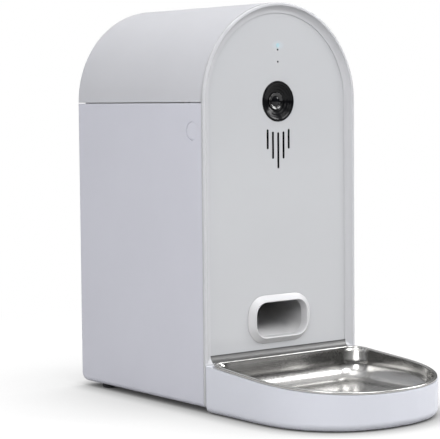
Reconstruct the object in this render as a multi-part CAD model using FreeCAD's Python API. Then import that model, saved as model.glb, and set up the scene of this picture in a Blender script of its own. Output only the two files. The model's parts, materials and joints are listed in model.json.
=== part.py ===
import FreeCAD, Part
import math
import os

# Automatic pet feeder with a camera, a lidded hopper and a steel bowl in a tray.
# Axes: +X to the right seen from the front, -Y to the front, +Z up, floor at z = 0.
# The origin lies on the floor under the middle of the whole object.
# All sizes are in millimetres.

# Housing and lid
body_width = 190.0
body_depth = 216.0
spring_height = 293.5
ground_gap = 5.0
wall = 3.0
floor_thickness = 5.0
side_edge_radius = 5.0
rear_bottom_radius = 9.0
lid_gap = 0.9
frame_gap = 0.5

# Clearances
fit = 0.3
press = 0.02
running = 0.05

# Front frame and panel
rim_width = 3.2
rim_edge_radius = 1.4
recess = 5.0
cove_width = 6.8
cove_sag = 0.9
panel_bottom = 53.5
panel_thickness = 2.5
panel_cover = 4.2
flange_depth = 3.0
skirt_wall = 2.5
bay_depth = 32.0
bay_cover_thickness = 2.0
bay_cover_drop = 87.5
main_board_half = 58.0
board = 1.6

# Camera, lights and speaker in the panel
camera_radius = 19.5
camera_proud = 0.8
barrel_radius = 8.6
lens_radius = 4.8
slot_count = 5
slot_pitch = 6.6
slot_width = 1.9
slot_drop = 30.0
slot_reach = 69.3
slot_taper = 9.7
speaker_radius = 18.0
light_drop = 31.1
light_radius = 2.0
pinhole_drops = (35.3, 46.9)
pinhole_radius = 0.6

# Food outlet
mouth_width = 63.4
mouth_height = 36.0
mouth_bottom = 63.3
mouth_radius = 13.0
collar_width = 78.2
collar_height = 46.7
collar_bottom = 59.2
collar_radius = 20.0
collar_flange = 4.0
collar_flange_thickness = 2.0

# Hopper and lid inside
hopper_wall = 2.2
hopper_side_room = 8.0
hopper_corner = 14.0
hopper_rim_drop = 2.0
hopper_rim = 3.0
hopper_rib_rows = (60.0, 125.0, 190.0)
hopper_rib_x = 45.0
funnel_height = 44.0
throat_gap = 7.2
throat_depth = 36.0
throat_corner = 5.0
sleeve_lap = 5.0
seal_width = 3.5
liner = 2.5

# Rotor, its case and drive
rotor_y = 58.0
rotor_radius = 35.4
rotor_play = 0.9
vane_count = 6
vane_thickness = 1.8
hub_radius = 9.0
case_wall = 2.5
case_drop = 3.7
outlet_half = 24.0
shaft_radius = 3.0
bush_wall = 2.5
bush_flange = 2.0
gear_module = 1.25
gear_teeth = 36
pinion_teeth = 12
pressure_angle = math.radians(25.0)
gear_width = 6.0
backlash = 0.25
motor_radius = 12.5
gearbox_length = 19.0
motor_length = 21.0
motor_shaft_radius = 2.0
drive_plate = 2.5
motor_room = 2.9

# Chute
chute_wall = 2.2
chute_rise = 38.5
chute_top = 8.2
chute_flange = 2.5
leg_length = 26.0

# Hinge
hinge_offset = 4.0
knuckle_radius = 3.6
knuckle_length = 14.0
hinge_x = 50.0
hinge_pin_radius = 1.5

# Lid buttons and their catches
button_radius = 8.5
button_y = 17.8
button_drop = 27.2
button_proud = 0.3
button_travel = 2.5
tongue_width = 14.0
tongue_thickness = 2.2
spring_strip = 0.8
spring_width = 8.0

# Desiccant box in the lid
desiccant_radius = 34.0
desiccant_wall = 3.0
desiccant_height = 20.0
cap_thickness = 2.6
cap_turn = 35.0
lug_half_angle = 9.0

# Tray and bowl
tray_length = 168.0
tray_nose = 100.0
tray_power = 2.3
tray_wall = 2.6
tray_gap = 0.8
tray_lift = 0.6
tray_rear_height = 45.4
tray_front_height = 32.8
tray_edge_radius = 7.0
lip_height = 2.8
lip_width = 2.4
lip_inset = 0.7
steel = 0.8
bowl_floor = 16.5
bowl_corner = 14.0
bowl_lean = 0.085
bowl_corner_growth = 10.0
bowl_floor_radius = 18.0
tongue_x = 55.0
runner_width = 24.0
runner_thickness = 4.0
runner_bottom = 12.0
runner_length = 48.0
guide_wall = 2.5
tray_foot_rear = (60.0, 22.0)
tray_foot_front = (38.0, 130.0)

# Feet, screws and power inlet
foot_radius = 8.0
foot_front = (62.0, 36.0)
foot_rear = (80.0, 183.0)
foot_recess = 1.2
service_half = 60.0
service_start = 100.0
service_end = 195.0
service_ledge = 8.0
cover_sheet = 2.5
cover_rib_x = 30.0
screw_radius = 1.4
screw_head_radius = 2.8
screw_head = 1.6
inlet_x = -40.0
inlet_z = 42.0
inlet_radius = 6.5

# Values that follow from the sizes above
half_width = body_width / 2.0
rear_reach = body_depth + hinge_offset + knuckle_radius
front = (tray_length - rear_reach) / 2.0
rear = front + body_depth
body_top = spring_height - lid_gap
skirt_radius = half_width - wall - fit
panel_half_width = half_width - rim_width - cove_width
pocket_radius = panel_half_width + panel_cover
panel_radius = pocket_radius - fit
panel_front = front + recess
panel_back = panel_front + panel_thickness
bay_back = front + bay_depth
cover_back = bay_back + bay_cover_thickness
bay_cover_bottom = spring_height - bay_cover_drop
main_board_y = bay_back - 8.0
sensor_board_y = panel_back + 3.0
floor_top = ground_gap + floor_thickness
inner_half = half_width - wall
camera_z = spring_height
panel_top = spring_height + panel_half_width
light_height = panel_top - light_drop
pinhole_heights = [panel_top - drop for drop in pinhole_drops]
speaker_z = camera_z - (slot_drop + slot_reach) / 2.0 + 3.0
mouth_z = mouth_bottom + mouth_height / 2.0
collar_z = collar_bottom + collar_height / 2.0
case_radius = rotor_radius + rotor_play
case_outer = case_radius + case_wall
chute_start = panel_back + collar_flange_thickness
chute_flange_z = mouth_bottom + chute_rise + chute_top
rotor_z = chute_flange_z + case_radius + case_drop
rotor_axis = FreeCAD.Vector(0, front + rotor_y, rotor_z)
throat_height = rotor_z + case_outer + throat_gap
funnel_top = throat_height + funnel_height
gear_gap = 1.5
head_room = 1.0
drive_stack = (fit + 0.2 + case_wall + bush_flange + gear_gap + gear_width + screw_head + head_room
               + drive_plate + gearbox_length + motor_length)
rotor_length = 2.0 * (inner_half - motor_room - drive_stack)
case_half = rotor_length / 2.0 + fit + 0.2
throat_width = 2.0 * (case_half - case_wall)
gear_distance = gear_module * (gear_teeth + pinion_teeth) / 2.0
cover_radius = case_outer + 5.0
sleeve_low = throat_height - sleeve_lap
hopper_top = spring_height - hopper_rim_drop
liner_front = cover_back + screw_head + 1.4
liner_bottom = spring_height + 0.7
desiccant_y = (liner_front + rear) / 2.0
hinge_y = rear + hinge_offset
bush_radius = shaft_radius + bush_wall
cover_face = case_half + case_wall
gear_start = cover_face + bush_flange + gear_gap
plate_start = gear_start + gear_width + screw_head + head_room
inner_skirt = pocket_radius
leg_y0 = front + runner_length + 5.0
leg_y1 = leg_y0 + leg_length
button_z = spring_height - button_drop
stem_end = inner_skirt - 5.0
tongue_low = button_z + button_radius + 1.0
catch_z = tongue_low + 6.5
groove_low = liner_bottom + 5.0
groove_high = groove_low + 3.0


def vec(x, y, z):
    return FreeCAD.Vector(x, y, z)


def box(x0, x1, y0, y1, z0, z1):
    return Part.makeBox(x1 - x0, y1 - y0, z1 - z0, vec(x0, y0, z0))


def rod(radius, start, end):
    return Part.makeCylinder(radius, (end - start).Length, start, end - start)


def cone(start_radius, end_radius, start, end):
    return Part.makeCone(start_radius, end_radius, (end - start).Length, start, end - start)


def line(a, b):
    return Part.LineSegment(a, b).toShape()


def arc(a, middle, b):
    return Part.Arc(a, middle, b).toShape()


def mirrored(shape):
    return shape.mirror(vec(0, 0, 0), vec(1, 0, 0))


def both_sides(shape):
    return [shape, mirrored(shape)]


def fuse(shapes):
    result = shapes[0]
    for shape in shapes[1:]:
        result = result.fuse(shape)
    return result.removeSplitter()


def cut(shape, tools):
    for tool in tools:
        shape = shape.cut(tool)
    return shape


def rounded_wire(corners, radius):
    """Closed wire round four corners of a rectangle, in any plane."""
    starts, middles, ends = [], [], []
    for index, corner in enumerate(corners):
        to_last = (corners[index - 1] - corner).normalize()
        to_next = (corners[(index + 1) % 4] - corner).normalize()
        starts.append(corner + to_last * radius)
        ends.append(corner + to_next * radius)
        middles.append(corner + (to_last + to_next) * radius * (1.0 - math.sqrt(0.5)))
    edges = []
    for index in range(4):
        edges.append(arc(starts[index], middles[index], ends[index]))
        edges.append(line(ends[index], starts[(index + 1) % 4]))
    return Part.Wire(edges)


def plan_rect(x0, x1, y0, y1, z, radius):
    corners = [vec(x0, y0, z), vec(x1, y0, z), vec(x1, y1, z), vec(x0, y1, z)]
    return rounded_wire(corners, radius)


def front_rect(width, height, middle_z, y, radius):
    x = width / 2.0
    z0, z1 = middle_z - height / 2.0, middle_z + height / 2.0
    corners = [vec(-x, y, z0), vec(x, y, z0), vec(x, y, z1), vec(-x, y, z1)]
    return rounded_wire(corners, radius)


def prism(wire, x, y, z):
    return Part.Face(wire).extrude(vec(x, y, z))


def side_prism(points, x0, x1):
    """Solid with the given (y, z) outline, between two planes that face sideways."""
    corners = [vec(x0, y, z) for y, z in points]
    return prism(Part.makePolygon(corners + corners[:1]), x1 - x0, 0, 0)


def arch_prism(radius, bottom, y0, y1):
    """Straight legs and a half-round top, between two planes that face the front."""
    left, right = vec(-radius, y0, spring_height), vec(radius, y0, spring_height)
    edges = [arc(left, vec(0, y0, spring_height + radius), right)]
    if bottom < spring_height:
        low_left, low_right = vec(-radius, y0, bottom), vec(radius, y0, bottom)
        edges += [line(right, low_right), line(low_right, low_left), line(low_left, left)]
    else:
        edges.append(line(right, left))
    return prism(Part.Wire(edges), 0, y1 - y0, 0)


def screw(seat, direction, length):
    """Round-headed screw: the head stands on the seat, the shank goes the other way."""
    head = cone(screw_head_radius, screw_head_radius * 0.75, seat, seat + direction * screw_head)
    return fuse([head, rod(screw_radius, seat - direction * length, seat)])


# Housing

def foot_places():
    return [(sign * x, front + y) for sign in (-1, 1) for x, y in (foot_front, foot_rear)]


def service_opening():
    """Half width, first and last y of the hole in the floor behind the mechanism."""
    return service_half, front + service_start, front + service_end


def service_screw_places():
    half, y0, y1 = service_opening()
    rows = (y0, (y0 + y1) / 2.0, y1)
    return [(x, y) for x in (-half - service_ledge / 2.0, half + service_ledge / 2.0) for y in rows]


def side_outline(inset, y0, low):
    """Closed side outline of the housing with its rounded lower rear corner."""
    back, top = rear - inset, body_top
    radius = rear_bottom_radius - inset
    bend = radius * (1.0 - math.sqrt(0.5))
    a, b = vec(0, y0, low), vec(0, back - radius, low)
    c, d = vec(0, back, low + radius), vec(0, back, top)
    e = vec(0, y0, top)
    edges = [line(a, b), arc(b, vec(0, back - bend, low + bend), c), line(c, d), line(d, e), line(e, a)]
    return Part.Wire(edges)


def housing_block(inset, y0, low, edge_radius):
    wide = half_width - inset
    wire = side_outline(inset, y0, low)
    wire.translate(vec(-wide, 0, 0))
    block = prism(wire, 2.0 * wide, 0, 0)
    rounded = []
    for edge in block.Edges:
        middle = edge.CenterOfMass
        on_side = abs(abs(middle.x) - wide) < 0.01
        if on_side and middle.y > y0 + 1.0 and middle.z < body_top - 1.0:
            rounded.append(edge)
    return block.makeFillet(edge_radius, rounded)


def hopper_ribs():
    """Gussets on the inner walls that carry the rim of the hopper."""
    top, reach, depth, half = hopper_top - hopper_rim, 7.0, 16.0, 1.25
    ribs = []
    for y in [front + row for row in hopper_rib_rows]:
        corners = [vec(-inner_half - 1.0, y - half, top), vec(-inner_half + reach, y - half, top),
                   vec(-inner_half - 1.0, y - half, top - depth)]
        rib = prism(Part.makePolygon(corners + corners[:1]), 0, 2.0 * half, 0)
        ribs += both_sides(rib)
    back = rear - wall
    for x in (-hopper_rib_x, hopper_rib_x):
        points = [(back + 1.0, top), (back - reach, top), (back + 1.0, top - depth)]
        ribs.append(side_prism(points, x - half, x + half))
    return ribs


def knuckle(x0, x1, upward):
    """Hinge barrel with the web that joins it to the rear wall."""
    barrel = rod(knuckle_radius, vec(x0, hinge_y, spring_height), vec(x1, hinge_y, spring_height))
    if upward:
        web = box(x0, x1, rear - 1.0, hinge_y, spring_height + 0.2, spring_height + knuckle_radius)
    else:
        web = box(x0, x1, rear - 1.0, hinge_y, spring_height - knuckle_radius, body_top - 0.1)
    return barrel.fuse(web)


def hinge_spans():
    """For each hinge: the housing's knuckle, then the lid's two knuckles."""
    half, side = knuckle_length / 2.0, knuckle_length / 2.0
    spans = []
    for x in (-hinge_x, hinge_x):
        spans.append(((x - half, x + half),
                      ((x - half - fit - side, x - half - fit), (x + half + fit, x + half + fit + side))))
    return spans


def make_main_housing():
    start = front + flange_depth + frame_gap
    shell = housing_block(0.0, start, ground_gap, side_edge_radius)
    room = housing_block(wall, start - 5.0, floor_top, side_edge_radius - wall)
    room = room.fuse(box(-inner_half, inner_half, start - 5.0, rear - wall, body_top - 1.0, body_top + 5.0))
    shell = shell.cut(room)
    solids = [shell] + hopper_ribs()
    for own, _ in hinge_spans():
        solids.append(knuckle(own[0], own[1], False))
    for x, y in service_screw_places():
        solids.append(rod(screw_radius + 2.2, vec(x, y, floor_top - 1.0), vec(x, y, floor_top + 7.0)))
    body = fuse(solids)
    half, y0, y1 = service_opening()
    tools = [box(-half, half, y0, y1, 0, floor_top + 1.0)]
    seat = half + service_ledge
    tools.append(box(-seat, seat, y0 - service_ledge, y1 + service_ledge, 0, ground_gap + cover_sheet))
    for x, y in service_screw_places():
        tools.append(rod(screw_radius + press, vec(x, y, 0), vec(x, y, floor_top + 6.0)))
    for x, y in foot_places():
        tools.append(rod(foot_radius + press, vec(x, y, 0), vec(x, y, ground_gap + foot_recess)))
    for x in (-half_width, half_width):
        middle = vec(x, front + button_y, button_z)
        tools.append(rod(button_radius + fit, middle - vec(6, 0, 0), middle + vec(6, 0, 0)))
    for own, _ in hinge_spans():
        start, end = vec(own[0] - 1, hinge_y, spring_height), vec(own[1] + 1, hinge_y, spring_height)
        tools.append(rod(hinge_pin_radius + press, start, end))
    inlet = vec(inlet_x, rear, inlet_z)
    tools.append(rod(inlet_radius + press, inlet - vec(0, 6, 0), inlet + vec(0, 1, 0)))
    for x, y in leg_screw_places():
        tools.append(rod(screw_radius + press, vec(x, y, ground_gap + 1.0), vec(x, y, floor_top + 1.0)))
    return cut(body, tools)


def make_base_cover():
    half, y0, y1 = service_opening()
    outer = half + service_ledge - fit
    plate = box(-outer, outer, y0 - service_ledge + fit, y1 + service_ledge - fit,
                ground_gap, ground_gap + cover_sheet - 0.1)
    ribs = []
    for x in (-cover_rib_x, 0.0, cover_rib_x):
        ribs.append(box(x - 1.0, x + 1.0, y0 + 4.0, y1 - 4.0, ground_gap + 1.0, floor_top - 0.5))
    tools = []
    for x, y in service_screw_places():
        tools.append(rod(screw_radius + fit, vec(x, y, 0), vec(x, y, floor_top)))
        tools.append(rod(screw_head_radius + fit, vec(x, y, 0), vec(x, y, ground_gap + 1.2)))
    return cut(fuse([plate] + ribs), tools)


def make_base_screws():
    seats = [vec(x, y, ground_gap + 1.2) for x, y in service_screw_places()]
    screws = []
    for seat in seats:
        head = rod(screw_head_radius, seat - vec(0, 0, 1.0), seat)
        screws.append(fuse([head, rod(screw_radius, seat, seat + vec(0, 0, 9.0))]))
    return screws


def make_rubber_feet():
    feet = []
    for x, y in foot_places():
        pad = cone(foot_radius - 0.8, foot_radius, vec(x, y, 0), vec(x, y, 1.2))
        feet.append(fuse([pad, rod(foot_radius, vec(x, y, 1.2), vec(x, y, ground_gap + foot_recess))]))
    return feet


# Front frame and panel

def rim_edges(outer, back_points, place):
    """Section of the frame from its outer edge, over the rim and down the cove to the panel."""
    rim_edge = half_width - rim_width
    opening = panel_half_width
    top_round = rim_edge_radius * (1.0 - math.sqrt(0.5))
    edges = [line(place(outer, flange_depth), place(outer, rim_edge_radius)),
             arc(place(outer, rim_edge_radius), place(outer - top_round, top_round),
                 place(outer - rim_edge_radius, 0)),
             line(place(outer - rim_edge_radius, 0), place(rim_edge + 0.5, 0)),
             arc(place(rim_edge + 0.5, 0), place(rim_edge + 0.12, 0.12), place(rim_edge, 0.5))]
    lip = recess - 0.6
    run, fall = rim_edge - opening, lip - 0.5
    chord = math.hypot(run, fall)
    middle_r = (rim_edge + opening) / 2.0 + cove_sag * fall / chord
    middle_y = (0.5 + lip) / 2.0 + cove_sag * run / chord
    edges.append(arc(place(rim_edge, 0.5), place(middle_r, middle_y), place(opening, lip)))
    points = [(opening, lip), (opening, recess), (pocket_radius, recess)] + back_points
    points.append((outer, flange_depth))
    for here, there in zip(points, points[1:]):
        edges.append(line(place(*here), place(*there)))
    return Part.Face(Part.Wire(edges))


def boss_places():
    """Six screw bosses inside the skirt, as (x, z): three on each side."""
    distance = pocket_radius - 3.0
    places = []
    for angle in (0.0, 62.0):
        x = distance * math.cos(math.radians(angle))
        places.append((x, spring_height + distance * math.sin(math.radians(angle))))
    places.append((distance, bay_cover_bottom + 8.0))
    return [(sign * x, z) for sign in (1, -1) for x, z in places]


def make_front_frame():
    def across(radius, depth):
        return vec(radius, front + depth, spring_height)

    def upward(radius, depth):
        return vec(-half_width, front + depth, panel_bottom + panel_half_width - radius)

    side_back = [(pocket_radius, bay_depth), (skirt_radius, bay_depth), (skirt_radius, flange_depth)]
    side = rim_edges(half_width, side_back, across)
    over = side.revolve(vec(0, 0, spring_height), vec(0, -1, 0), 180.0)
    leg = side.extrude(vec(0, 0, ground_gap - spring_height))
    sill_outer = panel_half_width + panel_bottom - ground_gap
    sill_depth = recess + panel_thickness + 2.5
    sill_low = pocket_radius + 4.0
    sill_back = [(pocket_radius, sill_depth), (sill_low, sill_depth), (sill_low, flange_depth)]
    sill = rim_edges(sill_outer, sill_back, upward).extrude(vec(body_width, 0, 0))
    solids = [over, leg, mirrored(leg), sill]
    for x, z in boss_places():
        solids.append(rod(screw_radius + 1.8, vec(x, panel_back + 0.5, z), vec(x, bay_back, z)))
    frame = fuse(solids)
    below_skirt = box(-half_width, half_width, front + flange_depth, bay_back + 1.0, 0,
                      floor_top + side_edge_radius - wall + fit)
    corners = front_rect(body_width, 2.0 * spring_height, ground_gap + spring_height, front - 1.0,
                         side_edge_radius)
    frame = frame.cut(below_skirt).common(prism(corners, 0, bay_depth + 5.0, 0))
    tools = []
    for x, z in boss_places():
        tools.append(rod(screw_radius + press, vec(x, panel_back + 3.0, z), vec(x, bay_back + 1.0, z)))
    beside = box(skirt_radius, half_width + 1.0, front + flange_depth, bay_back + 1.0, 0, spring_height)
    tools += both_sides(beside)
    slot_y = front + button_y
    tongue_inner = inner_half - fit - tongue_thickness
    slot_top = spring_height + math.sqrt(skirt_radius ** 2 - tongue_inner ** 2) + 1.0
    for side_sign in (-1, 1):
        x0, x1 = sorted((side_sign * (inner_skirt - 3.0), side_sign * (skirt_radius + 1.0)))
        tools.append(rod(button_radius + 0.6, vec(x0, slot_y, button_z), vec(x1, slot_y, button_z)))
        half = tongue_width / 2.0 + 2.5
        tools.append(box(x0, x1, slot_y - half, slot_y + half, button_z + 4.0, slot_top))
        middle = side_sign * tongue_x
        half = runner_width / 2.0 + 1.0
        tools.append(box(middle - half, middle + half, front - 1.0, front + flange_depth + 1.0,
                         runner_bottom - 0.9, runner_bottom + runner_thickness + 0.9))
    return cut(frame, tools)


def slot_ends(index):
    """Lowest and highest point of one speaker slot, as heights."""
    offset = (index - (slot_count - 1) / 2.0) * slot_pitch
    top = camera_z - math.sqrt(slot_drop ** 2 - offset ** 2)
    low = camera_z - slot_reach + slot_taper * abs(offset) / slot_pitch
    return offset, low, top


def make_front_panel():
    panel = arch_prism(panel_radius, panel_bottom - panel_cover + fit, panel_front, panel_back)
    y0, y1 = panel_front - 1.0, panel_back + 1.0
    tools = [rod(camera_radius + 0.2, vec(0, y0, camera_z), vec(0, y1, camera_z)),
             rod(light_radius + press, vec(0, y0, light_height), vec(0, y1, light_height))]
    for z in pinhole_heights:
        tools.append(rod(pinhole_radius, vec(0, y0, z), vec(0, y1, z)))
    for index in range(slot_count):
        x, low, top = slot_ends(index)
        wire = front_rect(slot_width, top - low, (top + low) / 2.0, y0, slot_width / 2.0 - 0.01)
        wire.translate(vec(x, 0, 0))
        tools.append(prism(wire, 0, y1 - y0, 0))
    outlet = front_rect(collar_width + fit, collar_height + fit, collar_z, y0, collar_radius)
    tools.append(prism(outlet, 0, y1 - y0, 0))
    posts = []
    for x in (-6.0, 6.0):
        for z in (light_height + 4.0, pinhole_heights[-1] - 4.0):
            posts.append(rod(1.4, vec(x, panel_back - 0.5, z), vec(x, sensor_board_y, z)))
    return cut(fuse([panel] + posts), tools)


def make_sensor_board():
    z0, z1 = pinhole_heights[-1] - 7.0, light_height + 7.0
    sheet = box(-8.5, 8.5, sensor_board_y, sensor_board_y + board, z0, z1)
    chip = box(-4.0, 4.0, sensor_board_y + board, sensor_board_y + board + 1.4, z0 + 6.0, z1 - 10.0)
    return fuse([sheet, chip])


def make_microphones():
    capsules = []
    for z in pinhole_heights:
        capsules.append(rod(1.8, vec(0, panel_back + 0.1, z), vec(0, sensor_board_y, z)))
    return capsules


def make_status_light():
    return rod(light_radius, vec(0, panel_front, light_height), vec(0, sensor_board_y, light_height))


def camera_revolve(points):
    """Turn an outline of (radius, depth behind the panel front) about the camera axis."""
    corners = [vec(radius, panel_front + depth, camera_z) for radius, depth in points]
    face = Part.Face(Part.makePolygon(corners + corners[:1]))
    return face.revolve(vec(0, 0, camera_z), vec(0, 1, 0), 360.0)


def make_camera_ring():
    back = panel_thickness + 2.0
    points = [(camera_radius, panel_thickness), (camera_radius, -camera_proud + 0.5),
              (camera_radius - 0.5, -camera_proud), (camera_radius - 2.0, -camera_proud),
              (camera_radius - 2.6, 0.4), (camera_radius - 5.0, 0.9), (camera_radius - 5.3, 1.9),
              (camera_radius - 7.6, 2.3), (camera_radius - 8.0, 3.3), (barrel_radius + 0.6, 3.7),
              (barrel_radius + 0.1, 4.2), (barrel_radius + 0.1, 11.0), (camera_radius - 4.0, 11.0),
              (camera_radius - 4.0, back), (camera_radius + 3.5, back),
              (camera_radius + 3.5, panel_thickness)]
    return camera_revolve(points)


def make_camera_barrel():
    points = [(barrel_radius, 3.4), (barrel_radius - 0.7, 2.7), (barrel_radius - 1.8, 2.7),
              (barrel_radius - 2.4, 3.4), (lens_radius + 0.6, 4.2), (lens_radius + 0.2, 5.0),
              (lens_radius + 0.2, 7.0), (2.0, 7.0), (2.0, 10.0), (barrel_radius, 10.0)]
    return camera_revolve(points)


def make_camera_lens():
    """Front element of the lens: a domed disc."""
    centre = vec(0, panel_front + 5.2 + lens_radius * 1.2, camera_z)
    ball = Part.makeSphere(math.hypot(lens_radius, lens_radius * 1.2), centre)
    disc = rod(lens_radius, vec(0, panel_front + 2.0, camera_z), vec(0, panel_front + 6.9, camera_z))
    return disc.common(ball)


def make_camera_board():
    y = panel_front + 11.0
    sheet = box(-15.0, 15.0, y, y + board, camera_z - 15.0, camera_z + 15.0)
    sensor = box(-5.0, 5.0, y - 0.9, y, camera_z - 5.0, camera_z + 5.0)
    plug = box(-7.0, 7.0, y + board, y + board + 3.0, camera_z - 12.0, camera_z - 7.0)
    return fuse([sheet, sensor, plug])


def behind_panel(depth):
    """Point on the axis of the speaker, at a depth behind the back of the panel."""
    return vec(0, panel_back + depth, speaker_z)


def make_speaker_frame():
    flange = rod(speaker_radius + 1.5, behind_panel(0), behind_panel(2.0))
    basket = cone(speaker_radius, speaker_radius - 6.0, behind_panel(2.0), behind_panel(7.0))
    magnet = rod(speaker_radius - 7.0, behind_panel(7.0), behind_panel(12.0))
    hollow = cone(speaker_radius - 1.5, speaker_radius - 9.0, behind_panel(-0.1), behind_panel(6.0))
    return fuse([flange, basket, magnet]).cut(hollow)


def make_speaker_cone():
    shell = cone(speaker_radius - 2.6, speaker_radius - 9.8, behind_panel(0.6), behind_panel(5.6))
    hollow = cone(speaker_radius - 3.4, speaker_radius - 10.6, behind_panel(0.2), behind_panel(4.8))
    rim = rod(speaker_radius - 2.9, behind_panel(0.6), behind_panel(1.0))
    rim = rim.cut(rod(speaker_radius - 3.4, behind_panel(0), behind_panel(2.0)))
    return fuse([shell.cut(hollow), rim])


def board_post_places():
    x = main_board_half - 6.0
    return [(sign * x, z) for sign in (-1, 1) for z in (bay_cover_bottom + 14.0, spring_height + 42.0)]


def make_main_board():
    z0, z1 = bay_cover_bottom + 8.0, spring_height + 48.0
    sheet = box(-main_board_half, main_board_half, main_board_y, main_board_y + board, z0, z1)
    parts = [sheet]
    back = main_board_y + board
    processor, driver = (-20, 4, 40, 64, 2.2), (14, 30, 44, 58, 1.6)
    radio, plugs, memory = (-46, -30, 60, 84, 3.0), (26, 48, 86, 92, 4.0), (-12, 12, 96, 106, 1.4)
    for x0, x1, low, high, tall in (processor, driver, radio, plugs, memory):
        parts.append(box(x0, x1, back - 0.2, back + tall, z0 + low, z0 + high))
    tools = []
    for x, z in board_post_places():
        tools.append(rod(1.6, vec(x, main_board_y - 1.0, z), vec(x, back + 1.0, z)))
    return cut(fuse(parts), tools)


def make_bay_cover():
    plate = arch_prism(skirt_radius - fit, bay_cover_bottom, bay_back, cover_back)
    posts = []
    for x, z in board_post_places():
        posts.append(rod(3.0, vec(x, main_board_y + board, z), vec(x, bay_back + 0.5, z)))
        posts.append(rod(1.5, vec(x, main_board_y, z), vec(x, bay_back, z)))
    tools = []
    for x, z in boss_places():
        tools.append(rod(screw_radius + fit, vec(x, bay_back - 1.0, z), vec(x, cover_back + 1.0, z)))
    return cut(fuse([plate] + posts), tools)


def make_bay_screws():
    return [screw(vec(x, cover_back, z), vec(0, 1, 0), 14.0) for x, z in boss_places()]


def make_outlet_collar():
    def round_collar(outward, middle_z, y):
        return front_rect(collar_width + 2 * outward, collar_height + 2 * outward, middle_z, y,
                          collar_radius + outward)

    def round_mouth(outward, y):
        return front_rect(mouth_width + 2 * outward, mouth_height + 2 * outward, mouth_z, y,
                          mouth_radius + outward)

    middle = (collar_z + mouth_z) / 2.0
    sections = [round_collar(0, collar_z, panel_front), round_collar(-1.0, collar_z - 0.1, front + 2.6),
                round_collar(-2.8, middle, front + 0.7), round_mouth(1.7, front)]
    flare = Part.makeLoft(sections, True, False)
    neck = prism(round_collar(0, collar_z, panel_front), 0, panel_thickness, 0)
    flange = prism(round_collar(collar_flange, collar_z, panel_back), 0, collar_flange_thickness, 0)
    mouth = prism(round_mouth(0, front - 1.0), 0, 20.0, 0)
    ease = Part.makeLoft([round_mouth(1.0, front - 0.01), round_mouth(0, front + 1.0)], True, True)
    return fuse([flare, neck, flange]).cut(mouth).cut(ease)


# Food path

def leg_screw_places():
    x = mouth_width / 2.0 + chute_wall + 7.0
    return [(sign * x, y) for sign in (-1, 1) for y in (leg_y0 + 5.0, leg_y1 - 5.0)]


def chute_points(offset):
    """Side outline of the chute: floor, rear wall, top opening and roof."""
    back = rotor_axis.y + outlet_half + offset
    roof = rotor_axis.y - outlet_half - offset
    return [(chute_start, mouth_bottom - offset), (back, mouth_bottom + chute_rise - offset),
            (back, chute_flange_z), (roof, chute_flange_z),
            (chute_start, mouth_bottom + mouth_height + offset)]


def chute_block(offset, edge_radius):
    wide = mouth_width / 2.0 + offset
    block = side_prism(chute_points(offset), -wide, wide)
    rounded = []
    for edge in block.Edges:
        middle, run = edge.CenterOfMass, edge.BoundBox
        slopes = run.YLength > 5.0 and run.ZLength > 5.0
        if slopes and abs(abs(middle.x) - wide) < 0.01:
            rounded.append(edge)
    return block.makeFillet(edge_radius, rounded)


def make_food_chute():
    shell = chute_block(chute_wall, mouth_radius)
    void = chute_block(0.0, mouth_radius - 1.0)
    wide = mouth_width / 2.0 + chute_wall
    back = rotor_axis.y + outlet_half + chute_wall
    rim = box(-wide - 4.0, wide + 4.0, rotor_axis.y - outlet_half - 6.0, back + 4.0,
              chute_flange_z - chute_flange, chute_flange_z)
    solids = [shell, rim]
    for sign in (-1, 1):
        x0, x1 = sorted((sign * (wide - 0.5), sign * (wide + 3.0)))
        solids.append(box(x0, x1, leg_y0, leg_y1, floor_top, chute_flange_z))
        x0, x1 = sorted((sign * wide, sign * (wide + 11.0)))
        solids.append(box(x0, x1, leg_y0, leg_y1, floor_top, floor_top + 3.0))
    chute = fuse(solids).cut(void)
    y0, y1 = rotor_axis.y - outlet_half, rotor_axis.y + outlet_half
    half = mouth_width / 2.0
    chute = chute.cut(box(-half, half, y0, y1, chute_flange_z - chute_flange - 1.0, chute_flange_z + 1.0))
    tools = []
    for x, y in leg_screw_places():
        tools.append(rod(screw_radius + fit, vec(x, y, floor_top - 1.0), vec(x, y, floor_top + 4.0)))
    return cut(chute, tools)


def make_leg_screws():
    return [screw(vec(x, y, floor_top + 3.0), vec(0, 0, 1), 6.5) for x, y in leg_screw_places()]


def make_rotor_case():
    start, end = vec(-cover_face, rotor_axis.y, rotor_z), vec(case_half, rotor_axis.y, rotor_z)
    drum = rod(case_outer, start, end)
    wide, deep = throat_width / 2.0 + case_wall, throat_depth / 2.0 + case_wall
    inlet = box(-wide, wide, rotor_axis.y - deep, rotor_axis.y + deep, rotor_z, throat_height)
    low = outlet_half + case_wall
    outlet = box(-cover_face, case_half, rotor_axis.y - low, rotor_axis.y + low, chute_flange_z, rotor_z)
    plate = box(-cover_face - 1.5, case_half, rotor_axis.y - low - 3.5, rotor_axis.y + low + 3.5,
                chute_flange_z, chute_flange_z + chute_flange)
    body = fuse([drum, inlet, outlet, plate])
    inside = rod(case_radius, vec(-case_half, rotor_axis.y, rotor_z), end + vec(1, 0, 0))
    throat = prism(plan_rect(-throat_width / 2.0, throat_width / 2.0, rotor_axis.y - throat_depth / 2.0,
                             rotor_axis.y + throat_depth / 2.0, rotor_z, throat_corner), 0, 0, throat_height)
    y0, y1 = rotor_axis.y - outlet_half, rotor_axis.y + outlet_half
    drop = box(-throat_width / 2.0, throat_width / 2.0, y0, y1, chute_flange_z - 1.0, rotor_z)
    bush = rod(bush_radius + press, start - vec(1, 0, 0), start + vec(case_wall + 1.0, 0, 0))
    return cut(body, [inside, throat, drop, bush])


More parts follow.
